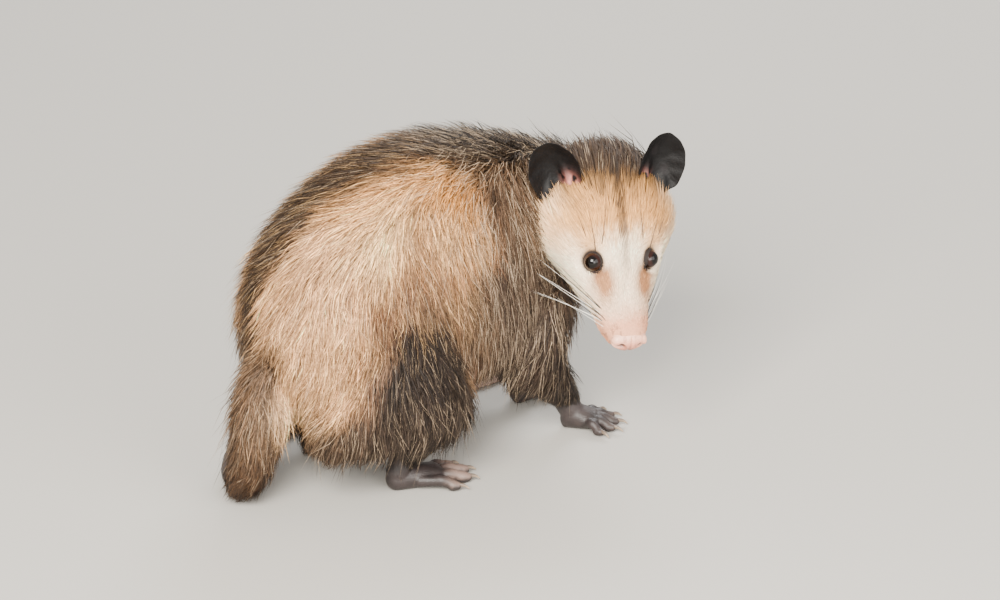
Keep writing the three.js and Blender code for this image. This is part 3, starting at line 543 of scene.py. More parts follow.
def face_tone(p):
    """The colour of the face fur."""
    s, r, u = to_head(p)
    side = np.abs(r)
    top = smooth(-4, 9, u)
    patch = noise(p, 9, 7)
    s_w = s + 3 * patch
    tone = blend(TONES["cheek"], TONES["white"], smooth(40, 70, s_w))
    tone = blend(tone, TONES["tan"], 0.95 * smooth(66, 44, s_w) * top * smooth(48, 34, side))
    tone = blend(tone, TONES["fawn"], 0.85 * smooth(58, 40, s_w + 0.4 * u) * smooth(26, 40, side))
    wide = mix(0.9, 2.9, smooth(12, 34, s)) * mix(1, 0.75, smooth(50, 66, s)) + 0.4 * patch
    stripe = smooth(wide + 1.8, wide - 0.8, np.abs(r + 1.0 * patch)) * top * smooth(-8, 10, s)
    stripe = stripe * mix(0.65, 1.0, smooth(66, 48, s)) * smooth(86, 74, s)
    broken = 0.62 + 0.38 * smooth(-0.3, 0.4, noise(p, 4, 8))
    tone = blend(tone, TONES["umber"], 0.95 * stripe * broken)
    crown = smooth(38, 16, s + 5 * patch + 5 * noise(p, 3.4, 9)) * smooth(-14, 6, u)
    tone = blend(tone, TONES["mane"], 0.96 * crown)
    tone = blend(tone, TONES["slate"] * 0.85, 0.85 * smooth(22, 0, s + 5 * patch + 6 * noise(p, 4, 10)))
    tone = blend(tone, TONES["pink"], 0.12 * smooth(74, 90, s_w))
    tone = blend(tone, TONES["pink"], 0.8 * smooth(93, 112, s_w))
    dots = smooth(0.35, 0.6, noise(p, 2.6, 18)) * smooth(90, 98, s)
    dots = dots * smooth(4, 8, side) * smooth(-12, -6, u)
    tone = blend(tone, TONES["umber"], 0.4 * dots)
    for _, hand in HANDS:
        d = p - eye_place(hand)
        out, ahead, over = eye_axes(hand)
        x, y = d @ ahead, d @ over
        near = np.sqrt((x / 1.06) ** 2 + y ** 2)
        on_face = d @ out > -6
        below = spot(x, y, (17.5, 3.4), (14, 7)) * (d @ out > -18) * smooth(-2.0, -0.7, patch)
        tone = blend(tone, TONES["rust"], np.clip(below * (1.35 + 0.3 * noise(p, 3.2, 21)), 0, 0.92))
        tone = blend(tone, TONES["umber"], 0.45 * spot(x, y, (9.5, 2.5), (4, 4)) * on_face)
        tone = blend(tone, TONES["tan"], 0.6 * spot(x, y, (-12, 3), (9, 8)) * on_face)
        tone = blend(tone, TONES["umber"], 0.5 * smooth(9.2, 7.2, near + 0.7 * patch) * on_face)
        tone = blend(tone, TONES["ring"], smooth(7.7, 6.8, near + 0.3 * patch) * on_face)
    return tone


# ---- shader helpers ---------------------------------------------------------------------------


class Value:
    """A shader socket that Python's operators work on."""

    def __init__(self, board, socket):
        self.board, self.socket = board, socket

    def _maths(self, operation, first, second):
        return self.board.add("ShaderNodeMath", {"operation": operation}, {0: first, 1: second})

    def __add__(self, other):
        return self._maths("ADD", self, other)

    def __radd__(self, other):
        return self._maths("ADD", other, self)

    def __sub__(self, other):
        return self._maths("SUBTRACT", self, other)

    def __rsub__(self, other):
        return self._maths("SUBTRACT", other, self)

    def __mul__(self, other):
        return self._maths("MULTIPLY", self, other)

    def __rmul__(self, other):
        return self._maths("MULTIPLY", other, self)


class Board:
    """The node tree of one finish."""

    def __init__(self, name):
        self.material = bpy.data.materials.new(name)
        self.material.use_nodes = True
        self.nodes = self.material.node_tree.nodes
        self.links = self.material.node_tree.links
        self.shader = self.nodes["Principled BSDF"]

    def add(self, kind, settings=None, inputs=None, output=0):
        """A node with its settings, and values or links for its inputs. Gives one output."""
        node = self.nodes.new(kind)
        for key, value in (settings or {}).items():
            setattr(node, key, value)
        for key, value in (inputs or {}).items():
            self.join(node.inputs[key], value)
        return Value(self, node.outputs[output])

    def join(self, target, value):
        if isinstance(value, Value):
            self.links.new(value.socket, target)
        elif target.type == "RGBA":
            target.default_value = (*value, 1)
        else:
            target.default_value = value

    def set(self, **values):
        """Values or links for the shader's own sockets."""
        for key, value in values.items():
            self.join(self.shader.inputs[key.replace("_", " ")], value)

    def tone(self):
        """The colour painted on the piece's vertices."""
        return self.add("ShaderNodeAttribute", {"attribute_name": "tone"})

    def place(self):
        """The place on the object."""
        return self.add("ShaderNodeTexCoord", output=3)

    def speckle(self, scale, detail, rough=0.5):
        inputs = {"Scale": scale, "Detail": detail, "Roughness": rough, "Vector": self.place()}
        return self.add("ShaderNodeTexNoise", None, inputs)

    def tinted(self, colour, factor):
        """A colour multiplied by a grey factor."""
        grey = self.add("ShaderNodeCombineColor", None, {0: factor, 1: factor, 2: factor})
        settings = {"data_type": "RGBA", "blend_type": "MULTIPLY"}
        return self.add("ShaderNodeMix", settings, {0: 1.0, 6: colour, 7: grey}, output=2)

    def bump(self, height, distance, strength):
        inputs = {"Height": height, "Distance": distance, "Strength": strength}
        return self.add("ShaderNodeBump", None, inputs)


def coat_finish(name, rough, contrast):
    board = Board(name)
    coarse, fine = board.speckle(330, 1.0), board.speckle(900, 1.0)
    fleck = (coarse - 0.5) * contrast + (fine - 0.5) * contrast + 1.0
    board.set(Base_Color=board.tinted(board.tone(), fleck), Roughness=rough, Specular_IOR_Level=0.3)
    return board.material


def bumpy(board, height, tint, depth, strength, **more):
    """A skin of the painted colour, which a height raises and tints by a gain and a base."""
    gain, base = tint
    board.set(Base_Color=board.tinted(board.tone(), height * gain + base),
              Normal=board.bump(height, depth, strength), **more)
    return board.material


def skin_finish(name, rough, grain, depth, strength):
    board = Board(name)
    return bumpy(board, board.speckle(grain, 3.0), (0.5, 0.75), depth, strength, Roughness=rough)


def nose_finish():
    board = Board("moist_nose")
    inputs = {"Scale": 1500, "Vector": board.place()}
    cells = board.add("ShaderNodeTexVoronoi", {"feature": "F1"}, inputs)
    return bumpy(board, cells, (0.35, 0.8), 0.0003, 0.5, Roughness=0.38, Coat_Weight=0.25,
                 Coat_Roughness=0.3)


def ear_finish():
    board = Board("ear_leather")
    wrinkle = board.speckle(420, 4.0, 0.6)
    return bumpy(board, wrinkle, (0.8, 0.6), 0.0006, 0.7, Roughness=wrinkle * 0.35 + 0.4,
                 Specular_IOR_Level=0.24)


def tail_finish():
    """Small scales in rings: cells in the piece's own map, along and round the tail."""
    board = Board("tail_scales")
    mapped = board.add("ShaderNodeUVMap", {"uv_map": "lengthwise"})
    cells = board.add("ShaderNodeTexVoronoi", {"feature": "DISTANCE_TO_EDGE"},
                      {"Scale": 1.0, "Randomness": 0.45, "Vector": mapped})
    edge = board.add("ShaderNodeMapRange", None, {0: cells, 2: 0.16})
    return bumpy(board, edge, (0.3, 0.72), 0.0006, 0.8, Roughness=0.55)


def plain_finish(name, rough, **more):
    board = Board(name)
    board.set(Base_Color=board.tone(), Roughness=rough, **more)
    return board.material


# ---- head -------------------------------------------------------------------------------------

HEAD_RINGS, HEAD_SIDES = 250, 240
HEAD_DEPTH = 1.2
MOUTH = {"from": 116, "to": 64, "front": 127, "back": 110, "sag": 8}
HEAD_SWELLS = [  # height, then place and size along, across and up
    (1.6, (52, 22, 20), (12, 9, 8)), (-1.8, (76, 15, 14), (9, 6, 7)),
    (-1.0, (60, 36, -2), (12, 9, 10)), (1.6, (34, 44, -8), (20, 12, 14)),
    (2.3, (106, 12, -2), (10, 6, 7)), (-0.7, (92, 18, 2), (9, 7, 7)),
    (0.8, (20, 0, 30), (16, 7, 12)), (-0.7, (86, 0, 16), (16, 4, 8)),
]


def bump_at(place, centre, size):
    """A soft hill of height 1 round a place in the head, with sizes along, across and up."""
    d = (place - np.asarray(centre, float)) / np.asarray(size, float)
    return np.exp(-(d ** 2).sum(-1))


def on_right(place):
    """Places of the left side mirrored to the right."""
    return np.stack([place[:, 0], np.abs(place[:, 1]), place[:, 2]], -1)


def swells_at(place, table):
    """The sum of a table's hills."""
    total = np.zeros(len(place))
    for height, centre, size in table:
        total += height * bump_at(place, centre, size)
    return total


def shape_head(points, angle):
    """Adds the forms of the skull, muzzle and lips to the plain head, in head measures."""
    s, r, u = to_head(points)
    out = unit(points - in_head(s, 0 * r, 0 * u))
    swell = swells_at(on_right(np.stack([s, r, u], -1)), HEAD_SWELLS)
    turn = np.degrees(np.abs(np.arctan2(np.sin(angle), np.cos(angle))))
    share = np.clip((MOUTH["from"] - s) / (MOUTH["from"] - MOUTH["to"]), 0, 1)
    line = mix(MOUTH["front"], MOUTH["back"], share) - MOUTH["sag"] * np.sin(math.pi * share)
    girth = np.interp(s, HEAD_PLACES, [section[1] for section in HEAD_SECTIONS])
    off = (turn - line) * girth * math.pi / 180
    reach = smooth(MOUTH["to"] - 4, MOUTH["to"] + 4, s)
    reach = reach * smooth(MOUTH["from"] + 5, MOUTH["from"] + 1, s)
    swell -= 1.7 * reach * np.exp(-(off / 0.65) ** 2)
    swell += 0.8 * reach * np.exp(-((off + 2.6) / 1.7) ** 2)
    swell += 0.45 * reach * np.exp(-((off - 2.6) / 1.7) ** 2)
    swell -= 0.9 * smooth(70, 100, s) * smooth(line + 4, line + 30, turn)
    return points + out * swell[:, None]


def head_shell():
    """The closed skin of the head, less the eyelids."""
    back_rings, front_rings = 26, 12
    levels = [-1 + k / back_rings for k in range(1, back_rings)]
    levels += list(np.linspace(0, head.last, HEAD_RINGS))
    levels += [head.last + k / front_rings for k in range(1, front_rings)]
    u, t = np.meshgrid(levels, np.arange(HEAD_SIDES) * 2 * math.pi / HEAD_SIDES, indexing="ij")
    rings = head.point(u, t, -HEAD_DEPTH)
    shaped = shape_head(rings.reshape(-1, 3), t.ravel()).reshape(rings.shape)
    ends = head.point(np.array([-1.0, head.last + 1.0]), np.zeros(2), -HEAD_DEPTH)
    return lofted(shaped, ends[0], ends[1])


# Half opening of the lids: towards the nose, towards the ear, upper lid, lower lid
OPENING = {"nose": 6.7, "ear": 6.0, "upper": 5.8, "lower": 5.8}
LID_ROUND, SOCKET_DEPTH = 120, 6.5
LID_PROFILE = [  # share of the opening, height over the eyeball, share of the skin's own height
    (0.9, -1.6, 0), (0.97, -0.3, 0), (1.0, 0.15, 0), (1.03, 0.42, 0), (1.08, 0.6, 0.03),
    (1.16, 0.6, 0.12), (1.28, 0.45, 0.36), (1.46, 0.3, 0.64), (1.75, 0.1, 0.88), (2.15, -0.2, 1.0),
    (2.4, -0.9, 1.0),
]


def opening(angle):
    """The rim of the lids, ahead and over the eye's middle, at an angle round it."""
    c, s = np.cos(angle), np.sin(angle)
    wide = np.where(c > 0, OPENING["nose"], OPENING["ear"])
    tall = np.where(s > 0, OPENING["upper"], OPENING["lower"])
    point = 1 + 0.1 * np.clip(c, 0, 1) ** 6
    return wide * c * point, tall * s


def round_eye(hand, points):
    """For places on the face: how many times as far from an eye's middle as the rim of its lids,
    and how far over the eye's middle and out from it."""
    d = points - eye_place(hand)
    out, ahead, over = eye_axes(hand)
    x, y = d @ ahead, d @ over
    wide, tall = opening(np.arctan2(y, x))
    rim = np.maximum(np.sqrt(wide ** 2 + tall ** 2), 0.1)
    return np.sqrt(x ** 2 + y ** 2) / rim, y, d @ out


def lid_shell(hand, tree):
    """A ring of skin from under the rim of the lids out onto the face."""
    centre = eye_place(hand)
    out, ahead, over = eye_axes(hand)
    x, y = opening(np.arange(LID_ROUND) * 2 * math.pi / LID_ROUND)
    rings = []
    for share, height, own in LID_PROFILE:
        px, py = x * share, y * share
        reach = np.sqrt(px ** 2 + py ** 2)
        ball = np.sqrt(np.maximum(EYE_RADIUS ** 2 - reach ** 2, 0))
        ball = ball - np.maximum(reach - EYE_RADIUS, 0)
        flat = centre + ahead * px[:, None] + over * py[:, None]
        level = ball + height
        if own:
            skin = []
            for place in flat:
                hit = tree.ray_cast(Vector(place + out * 30), Vector(-out))
                skin.append((np.array(hit[0]) - place) @ out if hit[0] else 0.0)
            level = mix(level, np.array(skin) + height * (1 if own == 1 else 0), own)
        rings.append(flat + out * level[:, None])
    rings = np.array(rings)
    rows, n = rings.shape[:2]
    faces = []
    for r in range(rows - 1):
        for k in range(n):
            m = (k + 1) % n
            faces.append([r * n + k, (r + 1) * n + k, (r + 1) * n + m, r * n + m][:: hand])
    return rings.reshape(-1, 3), faces


def build_head():
    """The skin of the head with its lids, painted as the face fur is."""
    verts, faces = head_shell()
    tree = BVHTree.FromPolygons([Vector(v) for v in verts], faces)
    for _, hand in HANDS:
        share, _, out = round_eye(hand, verts)
        sunk = (1 - smooth(1.5, 2.1, share)) * (out > -4)
        verts = verts - eye_out(hand) * (sunk * SOCKET_DEPTH)[:, None]
    shells = [(verts, faces)]
    for _, hand in HANDS:
        shells.append(lid_shell(hand, tree))
    skin = joined_shells("head_skin", shells)
    shade_smooth(skin)
    points = design_of(skin)
    tone = face_tone(points) * UNDER_FACE_SHADE
    for _, hand in HANDS:
        share, over, out = round_eye(hand, points)
        on_face = out > -2
        tone = blend(tone, TONES["ring"] * 0.35, smooth(1.34, 1.14, share) * on_face)
        margin = smooth(0.97, 1.0, share) * smooth(1.08, 1.03, share) * (over < 1) * on_face
        tone = blend(tone, srgb(110, 70, 62), 0.12 * margin)
    s, _, u = to_head(points)
    lip = np.exp(-(((s - 116) / 5) ** 2)) * smooth(2, -4, u)
    tone = blend(tone, TONES["pink"] * 0.8, 0.6 * lip)
    paint_vertices(skin, tone)
    return skin


def build_eye(name, hand):
    """An eyeball with a bulging clear front, made from a sphere."""
    deselect()
    centre = placed(eye_place(hand))
    bpy.ops.mesh.primitive_uv_sphere_add(segments=64, ring_count=40, radius=EYE_RADIUS * MM,
                                         location=tuple(centre))
    eye = bpy.context.active_object
    bpy.ops.object.transform_apply(location=True, rotation=True, scale=True)
    eye.name = name
    p = design_of(eye) - eye_place(hand)
    facing = unit(p) @ eye_out(hand)
    set_vertices(eye, placed(eye_place(hand) + p * (1 + 0.05 * smooth(0.7, 1, facing))[:, None]))
    iris = smooth(0.36, 0.5, facing)
    tone = blend(srgb(16, 9, 7), srgb(34, 15, 10), iris)
    tone = blend(tone, srgb(6, 4, 3), smooth(0.72, 0.82, facing))
    paint_vertices(eye, tone)
    shade_smooth(eye)
    return eye


NOSE_PLACE, NOSE_SIZE = 117.6, (7.8, 12.2, 8.6)
NOSE_SWELLS = [
    (2.3, (3.4, 9.6, 3.2), (5, 3.2, 4.2)), (0.9, (6, 2.6, 4.4), (5, 3.4, 4)),
    (0.6, (6, 3.6, -3), (4, 3.6, 3)),
]
NOSTRILS = [(1.0, (7.8, 6.6, 3.0), (4.5, 2.5, 2.3)), (0.85, (5.6, 10, 1.6), (3.6, 3, 1.5))]


def build_nose():
    """The bare nose pad: a sphere pressed into a pad with two wings and a nostril in each."""
    deselect()
    bpy.ops.mesh.primitive_uv_sphere_add(segments=128, ring_count=96, radius=1)
    nose = bpy.context.active_object
    nose.name = "nose_pad"
    q = vertices_of(nose)
    side, fore, rise = q[:, 0], q[:, 1], q[:, 2]
    deep, wide, tall = NOSE_SIZE
    place = np.stack([fore * deep, side * wide, rise * tall + 1.2], -1)
    out = unit(q)[:, [1, 0, 2]]
    swell = swells_at(on_right(place), NOSE_SWELLS)
    swell -= 0.9 * np.exp(-(place[:, 1] / 0.75) ** 2) * smooth(1, 4, place[:, 0])
    place = place + out * swell[:, None]
    pit = np.clip(swells_at(on_right(place), NOSTRILS), 0, 1) ** 1.4
    place = place + np.stack([-5.2 * pit, -np.sign(place[:, 1]) * 2.0 * pit, -0.4 * pit], -1)
    design = in_head(NOSE_PLACE + place[:, 0], place[:, 1], place[:, 2])
    set_vertices(nose, placed(design))
    tone = blend(srgb(238, 180, 152), srgb(206, 138, 114), smooth(2, 8, place[:, 0]))
    tone = blend(tone, srgb(150, 92, 76), 0.45 * smooth(0.1, 0.7, noise(place, 2.6, 51)))
    # Painted shade inside the nostril pits, darkest where they are pushed in deepest
    tone = blend(tone, srgb(34, 16, 14), smooth(0.22, 0.6, pit))
    paint_vertices(nose, tone)
    shade_smooth(nose)
    return nose


# ---- ears -------------------------------------------------------------------------------------

EAR = {"s": 18.5, "side": 33.5, "up": 17.5, "cup": 9, "sunk": 3}
EAR_LEAN = {1: 0.5, -1: 0.12}
EAR_TURN = {1: 0.35, -1: 0.1}
EAR_RINGS, EAR_ROUND = 40, 120


def ear_frame(hand):
    """Where an ear grows, and its long way, the way its cup faces, and across it."""
    base = in_head(EAR["s"], hand * EAR["side"], EAR["up"])
    long = unit(-0.66 * head_axis + EAR_LEAN[hand] * hand * head_right + 0.66 * head_up)
    facing = 0.55 * head_axis + EAR_TURN[hand] * hand * head_right + 0.76 * head_up
    facing = unit(facing - long * (facing @ long))
    return base, long, facing, unit(np.cross(long, facing))


def build_ear(name, hand):
    """A thin crinkled leaf, cupped, with a fold of flesh at its foot."""
    base, long, facing, across = ear_frame(hand)
    round_it = np.arange(EAR_ROUND) * 2 * math.pi / EAR_ROUND
    f, angle = np.meshgrid(np.linspace(0, 1, EAR_RINGS), round_it, indexing="ij")
    inward = -1.0 if across @ head_right * hand > 0 else 1.0
    rim = 1 + 0.008 * np.sin(angle * 7 + hand) + 0.006 * np.sin(angle * 13)
    lobe = np.angle(np.exp(1j * (angle + inward * 0.95)))
    rim = rim + 0.1 * np.exp(-(lobe / 0.2) ** 2)
    x = np.sin(angle) * (EAR_WIDTH / 2) * f * rim * 0.98
    y = EAR_LENGTH * (0.5 - 0.5 * np.cos(angle) * f * rim)
    cup = EAR["cup"] * (1 - f ** 2) + 2.4 * np.cos(2 * angle) * f ** 2
    flat = np.stack([x, y, 0 * x], -1)
    crinkle = 0.35 * noise(flat + 100 * hand, 5, 11) + 0.5 * noise(flat + 40 * hand, 11, 12)
    wave = np.sin(y * 0.55 + 2 * noise(flat, 14, 13))
    crinkle += 0.5 * wave * smooth(0.3, 0.9, f) * smooth(0, 12, np.abs(x))
    fold = 3.2 * spot(x * inward, y, (6, 12), (2.4, 9)) + 2.6 * spot(x * inward, y, (-7, 8), (3.0, 6))
    edge = np.sqrt(np.clip(1 - f ** 8, 0.02, 1))
    half = 0.55 * edge
    sides = []
    for way, folded in ((-1, 0.4 * fold), (1, fold)):
        lift = way * half - cup + crinkle * (0.4 + 0.6 * f - 0.7 * f ** 4) + folded
        leaf = base + across * x[..., None] + long * (y - EAR["sunk"])[..., None]
        sides.append(leaf + facing * lift[..., None])
    back, front = sides
    rings = np.concatenate([back[1:], front[1:][::-1]])
    verts, faces = lofted(rings, back[0, 0], front[0, 0])
    ear = mesh_object(name, placed(verts), faces)
    shade_smooth(ear)
    s = design_of(ear) - base
    px, py = s @ across, s @ long + EAR["sunk"]
    inner = np.arange(len(s)) > (EAR_RINGS - 1) * EAR_ROUND
    tone = np.broadcast_to(srgb(4, 3, 4), s.shape)
    flesh = spot(px * inward, py, (8, 8.5), (4.2, 6)) * inner
    flesh = flesh * smooth(-0.3, 0.1, noise(s, 3.2, 17) + 0.02)
    tone = blend(tone, srgb(30, 25, 27), 0.35 * smooth(0.2, 0.8, noise(s, 7, 19)))
    tone = blend(tone, srgb(188, 122, 112), np.clip(1.2 * flesh, 0, 0.95))
    paint_vertices(ear, tone)
    return ear


# ---- feet, claws and tail ---------------------------------------------------------------------


def toe_form(origin, turn, toe, claw):
    """A toe's form, the places along its way, and how far out it ends."""
    fan, start, length, r = toe
    way = np.array([math.cos(rad(turn + fan)), math.sin(rad(turn + fan)), 0])
    end = start + length

    def at(distance, height):
        place = origin + way * distance
        return place[0], place[1], height

    rows = [
        (*at(start - 6, 6.6), r + 0.4, r + 0.5),
        (*at(start + length * 0.2, 7.0), r - 0.2, r - 0.2),
        (*at(start + length * 0.45, 7.4), r + 0.25, r + 0.1),
        (*at(start + length * 0.66, 5.6), r - 0.6, r - 0.5),
        (*at(end - 4.5, 4.0), r + 0.2, r - 0.1),
        (*at(end - 0.5, 3.9), r * 0.72, r * 0.66),
    ]
    return Form(rows, (2, 1.6 if claw else 3)), at, end


CLAW_ROWS = [  # distance past the toe's end, height over the floor, half width and half height
    (-1.5, 4.9, 1.25, 1.3), (1.5, 4.8, 1.15, 1.3), (4.2, 3.9, 0.8, 0.9), (6.4, 2.2, 0.35, 0.4),
]
FOOT_VOXEL = 0.85
FOOT_ROOTS = {"hind": (PELVIS, HIND, "heel"), "fore": (SHOULDERS, FORE, "wrist")}


def foot_shells(kind, hand):
    """Shells of one foot and of its claws."""
    girdle, table, place = FOOT_ROOTS[kind]
    turn = girdle[2] - hand * TURN_OUT[kind]
    base = np.array(limb_place(girdle, table, place, hand))
    way = np.array([math.cos(rad(turn)), math.sin(rad(turn)), 0])

    def at(distance, height, *size):
        p = base + way * distance
        return (p[0], p[1], height, *size)

    if kind == "hind":
        sole = Form([at(-1, 8, 8.2, 8.5), at(14, 7.6, 9.6, 8.4), at(27, 6.6, 12.4, 7.4)], (7, 6))
        leg = Form([at(4, 22, 8.6, 8.6), at(0, 12, 8.4, 8.4)], (6, 5), ref=(1, 0.6, 0))
        toes = [(hand * fan, *rest) for fan, *rest in HIND_TOES]
        origin = base
        clawless = [(hand * HIND_THUMB[0], *HIND_THUMB[1:])]
    else:
        sole = Form([at(0, 11, 8.6, 8.8, 11.6), at(11, 7.2, 11, 7.6), at(16, 6, 10.5, 6.6)], (6, 4))
        leg = Form([at(-6, 26, 9, 9), at(1, 13, 8.6, 8.6)], (6, 5), ref=(0.6, 0, 0.8))
        toes = FORE_TOES
        origin = base + way * 4
        clawless = []
    shells, claws = [sole.shell(8, 20), leg.shell(6, 18)], []
    for toe in toes:
        form, reach, end = toe_form(origin, turn, toe, True)
        shells.append(form.shell(14, 14))
        rows = [(*reach(end + d, z), w, h) for d, z, w, h in CLAW_ROWS]
        claws.append(Form(rows, (0.5, 0.5)).shell(9, 10, caps=3))
    for toe in clawless:
        form, _, _ = toe_form(origin, turn, toe, False)
        shells.append(form.shell(14, 14))
    return shells, claws


def build_feet():
    """The four feet by kind and side, and all their claws as one piece."""
    feet, claw_shells = {}, []
    for kind in ("hind", "fore"):
        for name, hand in HANDS:
            shells, claws = foot_shells(kind, hand)
            foot = joined_shells(f"{kind}_foot_skin_{name}", shells)
            fuse(foot, FOOT_VOXEL * MM, 3, 0.5)
            p = design_of(foot)
            p[:, 2] = np.maximum(p[:, 2], 0)
            set_vertices(foot, placed(p))
            shade_smooth(foot)
            # Dark skin of the foot, partly its own colour and partly painted shade, mottled by noise
            tone = blend(srgb(30, 25, 25), srgb(52, 43, 42), 0.5 + 0.5 * noise(p, 6, 21))
            base = np.array(limb_place(*FOOT_ROOTS[kind], hand))
            reach = np.linalg.norm((p - base)[:, :2], axis=-1)
            pale = smooth(30, 44, reach) if kind == "hind" else smooth(24, 34, reach) * 0.25
            over = smooth(3, 7, p[:, 2] + 2 * noise(p, 3, 23))
            paint_vertices(foot, blend(tone, srgb(150, 124, 112), 0.55 * pale * over))
            feet[(kind, name)] = foot
            claw_shells += claws
    claws = joined_shells("claws", claw_shells)
    shade_smooth(claws)
    over = smooth(3, 6, design_of(claws)[:, 2])
    paint_vertices(claws, blend(srgb(150, 132, 112), srgb(90, 76, 66), over))
    return feet, claws


SCALES_ROUND, SCALE_LENGTH = 24, 2.0


def build_tail():
    """The bare tail, from under the fur of its root, with a map of its own for the scales."""
    steps, sides = 420, 56
    u = np.linspace(TAIL_FUR_END - 0.5, tail.last, steps)
    t = np.arange(sides) * 2 * math.pi / sides
    grid_u, grid_t = np.meshgrid(u, t, indexing="ij")
    ripple = 0.1 * np.sin(grid_u * 60) - 0.15 - 5.5 * smooth(5.5, 4.5, grid_u)
    rings = tail.point(grid_u, grid_t, ripple)
    start, end = rings[0].mean(0), tail.point(np.array([tail.last + 1.0]), t[:1])[0]
    tips = [tail.point(np.full(sides, tail.last + k / 6), t) for k in range(1, 6)]
    rings = np.concatenate([rings, np.array(tips)])
    rings[..., 2] = np.maximum(rings[..., 2], 0)
    verts, faces = lofted(rings, start, end)
    obj = mesh_object("tail_skin", placed(verts), faces)
    shade_smooth(obj)
    levels = np.concatenate([u, tail.last + np.arange(1, 6) / 6])
    lengths = np.linalg.norm(np.diff(rings.mean(1), axis=0), axis=-1)
    gone = np.concatenate([[0], np.cumsum(lengths)])
    mapped = obj.data.uv_layers.new(name="lengthwise")
    index = read(obj.data.loops, "vertex_index")
    ring = np.clip((index - 1) // sides, 0, len(levels) - 1)
    spoke = (index - 1) % sides
    starts = read(obj.data.polygons, "loop_start")
    totals = read(obj.data.polygons, "loop_total")
    crossing = np.maximum.reduceat(spoke, starts) == sides - 1
    crossing = crossing & (np.minimum.reduceat(spoke, starts) == 0)
    spoke = spoke + np.where(np.repeat(crossing, totals) & (spoke == 0), sides, 0)
    uv = np.stack([spoke / sides * SCALES_ROUND, gone[ring] / SCALE_LENGTH], -1)
    mapped.data.foreach_set("uv", uv.astype(np.float32).ravel())
    p = design_of(obj)
    level = np.concatenate([[levels[0]], np.repeat(levels, sides), [levels[-1]]])
    bare = smooth(6.2, 7.6, level + 0.25 * noise(p, 8, 29))
    tone = blend(srgb(52, 44, 44), srgb(206, 164, 148), bare)
    tone = blend(tone, srgb(232, 202, 186), 0.5 * smooth(8, 13, level))
    paint_vertices(obj, tone)
    return obj


# ---- body skin --------------------------------------------------------------------------------


BODY_VOXEL = 2.0
UNDER_COAT_SHADE, UNDER_FACE_SHADE = 0.62, 0.82


def build_body():
    """The skin of body, limbs and tail root, painted as a shade of the coat over it."""
    shells = [
        trunk.shell(40, 64, -TRUNK_DEPTH),
        neck.shell(14, 48, -TRUNK_DEPTH),
        tail_root.shell(24, 28, -6),
    ]
    for name, _ in HANDS:
        forms = limbs[name]
        shells.append(forms["thigh"].shell(16, 40, -LIMB_DEPTH))
        shells.append(forms["arm"].shell(16, 40, -LIMB_DEPTH))
        shells.append(forms["shank"].shell(20, 28, -2.2))
        shells.append(forms["forearm"].shell(16, 28, -2.2))
    body = joined_shells("body_skin", shells)
    fuse(body, BODY_VOXEL * MM, 12, 0.6)
    p = design_of(body)
    p[:, 2] = np.maximum(p[:, 2], 0.5)
    set_vertices(body, placed(p))
    shade_smooth(body)
    paint_vertices(body, body_tone(p) * UNDER_COAT_SHADE)
    return body


# ---- coat -------------------------------------------------------------------------------------


class Ground:
    """A skin that hair grows on, in millimetres."""

    def __init__(self, obj):
        self.points = design_of(obj)
        obj.data.calc_loop_triangles()
        self.tris = read(obj.data.loop_triangles, "vertices", 3)
        self.normals = normals_of(obj)
        self.tree = BVHTree.FromPolygons([Vector(p) for p in self.points], self.tris.tolist())
        a, b, c = (self.points[self.tris[:, k]] for k in range(3))
        self.areas = np.linalg.norm(np.cross(b - a, c - a), axis=-1) / 2

    def scatter(self, density):
        """Roots and normals, spread by area times the density at each triangle's middle."""
        middle = self.points[self.tris].mean(1)
        weight = self.areas * density(middle, unit(self.normals[self.tris].mean(1)))
        count = int(weight.sum() * COAT_SHARE)
        pick = np.searchsorted(np.cumsum(weight) / weight.sum(), np.sort(rng.random(count)))
        pick = np.minimum(pick, len(self.tris) - 1)
        a, b = rng.random((2, count))
        fold = a + b > 1
        a, b = np.where(fold, 1 - a, a), np.where(fold, 1 - b, b)
        share = np.stack([1 - a - b, a, b], -1)[..., None]
        corners = self.tris[pick]
        return (self.points[corners] * share).sum(1), unit((self.normals[corners] * share).sum(1))

    def nearest(self, points):
        places, normals = np.empty_like(points), np.empty_like(points)
        find = self.tree.find_nearest
        for k, p in enumerate(points):
            place, normal, _, _ = find(p)
            places[k] = place
            normals[k] = normal
        return places, normals


ROOT_DEPTH = -1.2


def curves(ground, roots, normals, lie, length, lift, loose, sag, stops):
    """Points of each hair lock: along the lie over the skin, rising to the coat's depth."""
    way = lie(roots, normals)
    start_way = unit(way - dot(way, normals) * normals)
    here, out, gone = roots, normals, 0.0
    lines = []
    for stop in stops:
        step = (stop - gone) * length
        if stop > 0:
            way = lie(here, out)
            way = unit(way - dot(way, out) * out)
            here, out = ground.nearest(here + way * step[:, None])
        gone = stop
        height = mix(ROOT_DEPTH, lift, min(1.0, stop * 1.08) ** 0.8)
        follow = here + out * height[:, None]
        straight = roots + start_way * (stop * length)[:, None] + normals * height[:, None]
        straight[:, 2] -= sag * stop ** 2 * length
        share = np.clip(loose * stop, 0, 1)[:, None]
        places = follow * (1 - share) + straight * share
        places[:, 2] = np.maximum(places[:, 2], 0.6 + 0.4 * stop)
        lines.append(places)
    return np.stack(lines, 1)


def clumped(lines, per_clump, pull):
    """Hair drawn towards the lead hair of its clump."""
    count = len(lines)
    leads = rng.permutation(count)[: max(1, count // per_clump)]
    tree = KDTree(len(leads))
    for k, lead in enumerate(leads):
        tree.insert(lines[lead, 0], k)
    tree.balance()
    own = np.array([leads[tree.find(p)[1]] for p in lines[:, 0]])
    guide = lines[own]
    share = np.linspace(0, 1, lines.shape[1])[None, :, None] ** 1.1
    near = 1 - smooth(6, 16, np.linalg.norm(guide[:, 0] - lines[:, 0], axis=-1))
    strength = (pull * near)[:, None, None] * share
    offset = (lines[:, :1] - guide[:, :1]) * 0.3
    return lines + (guide + offset - lines) * strength


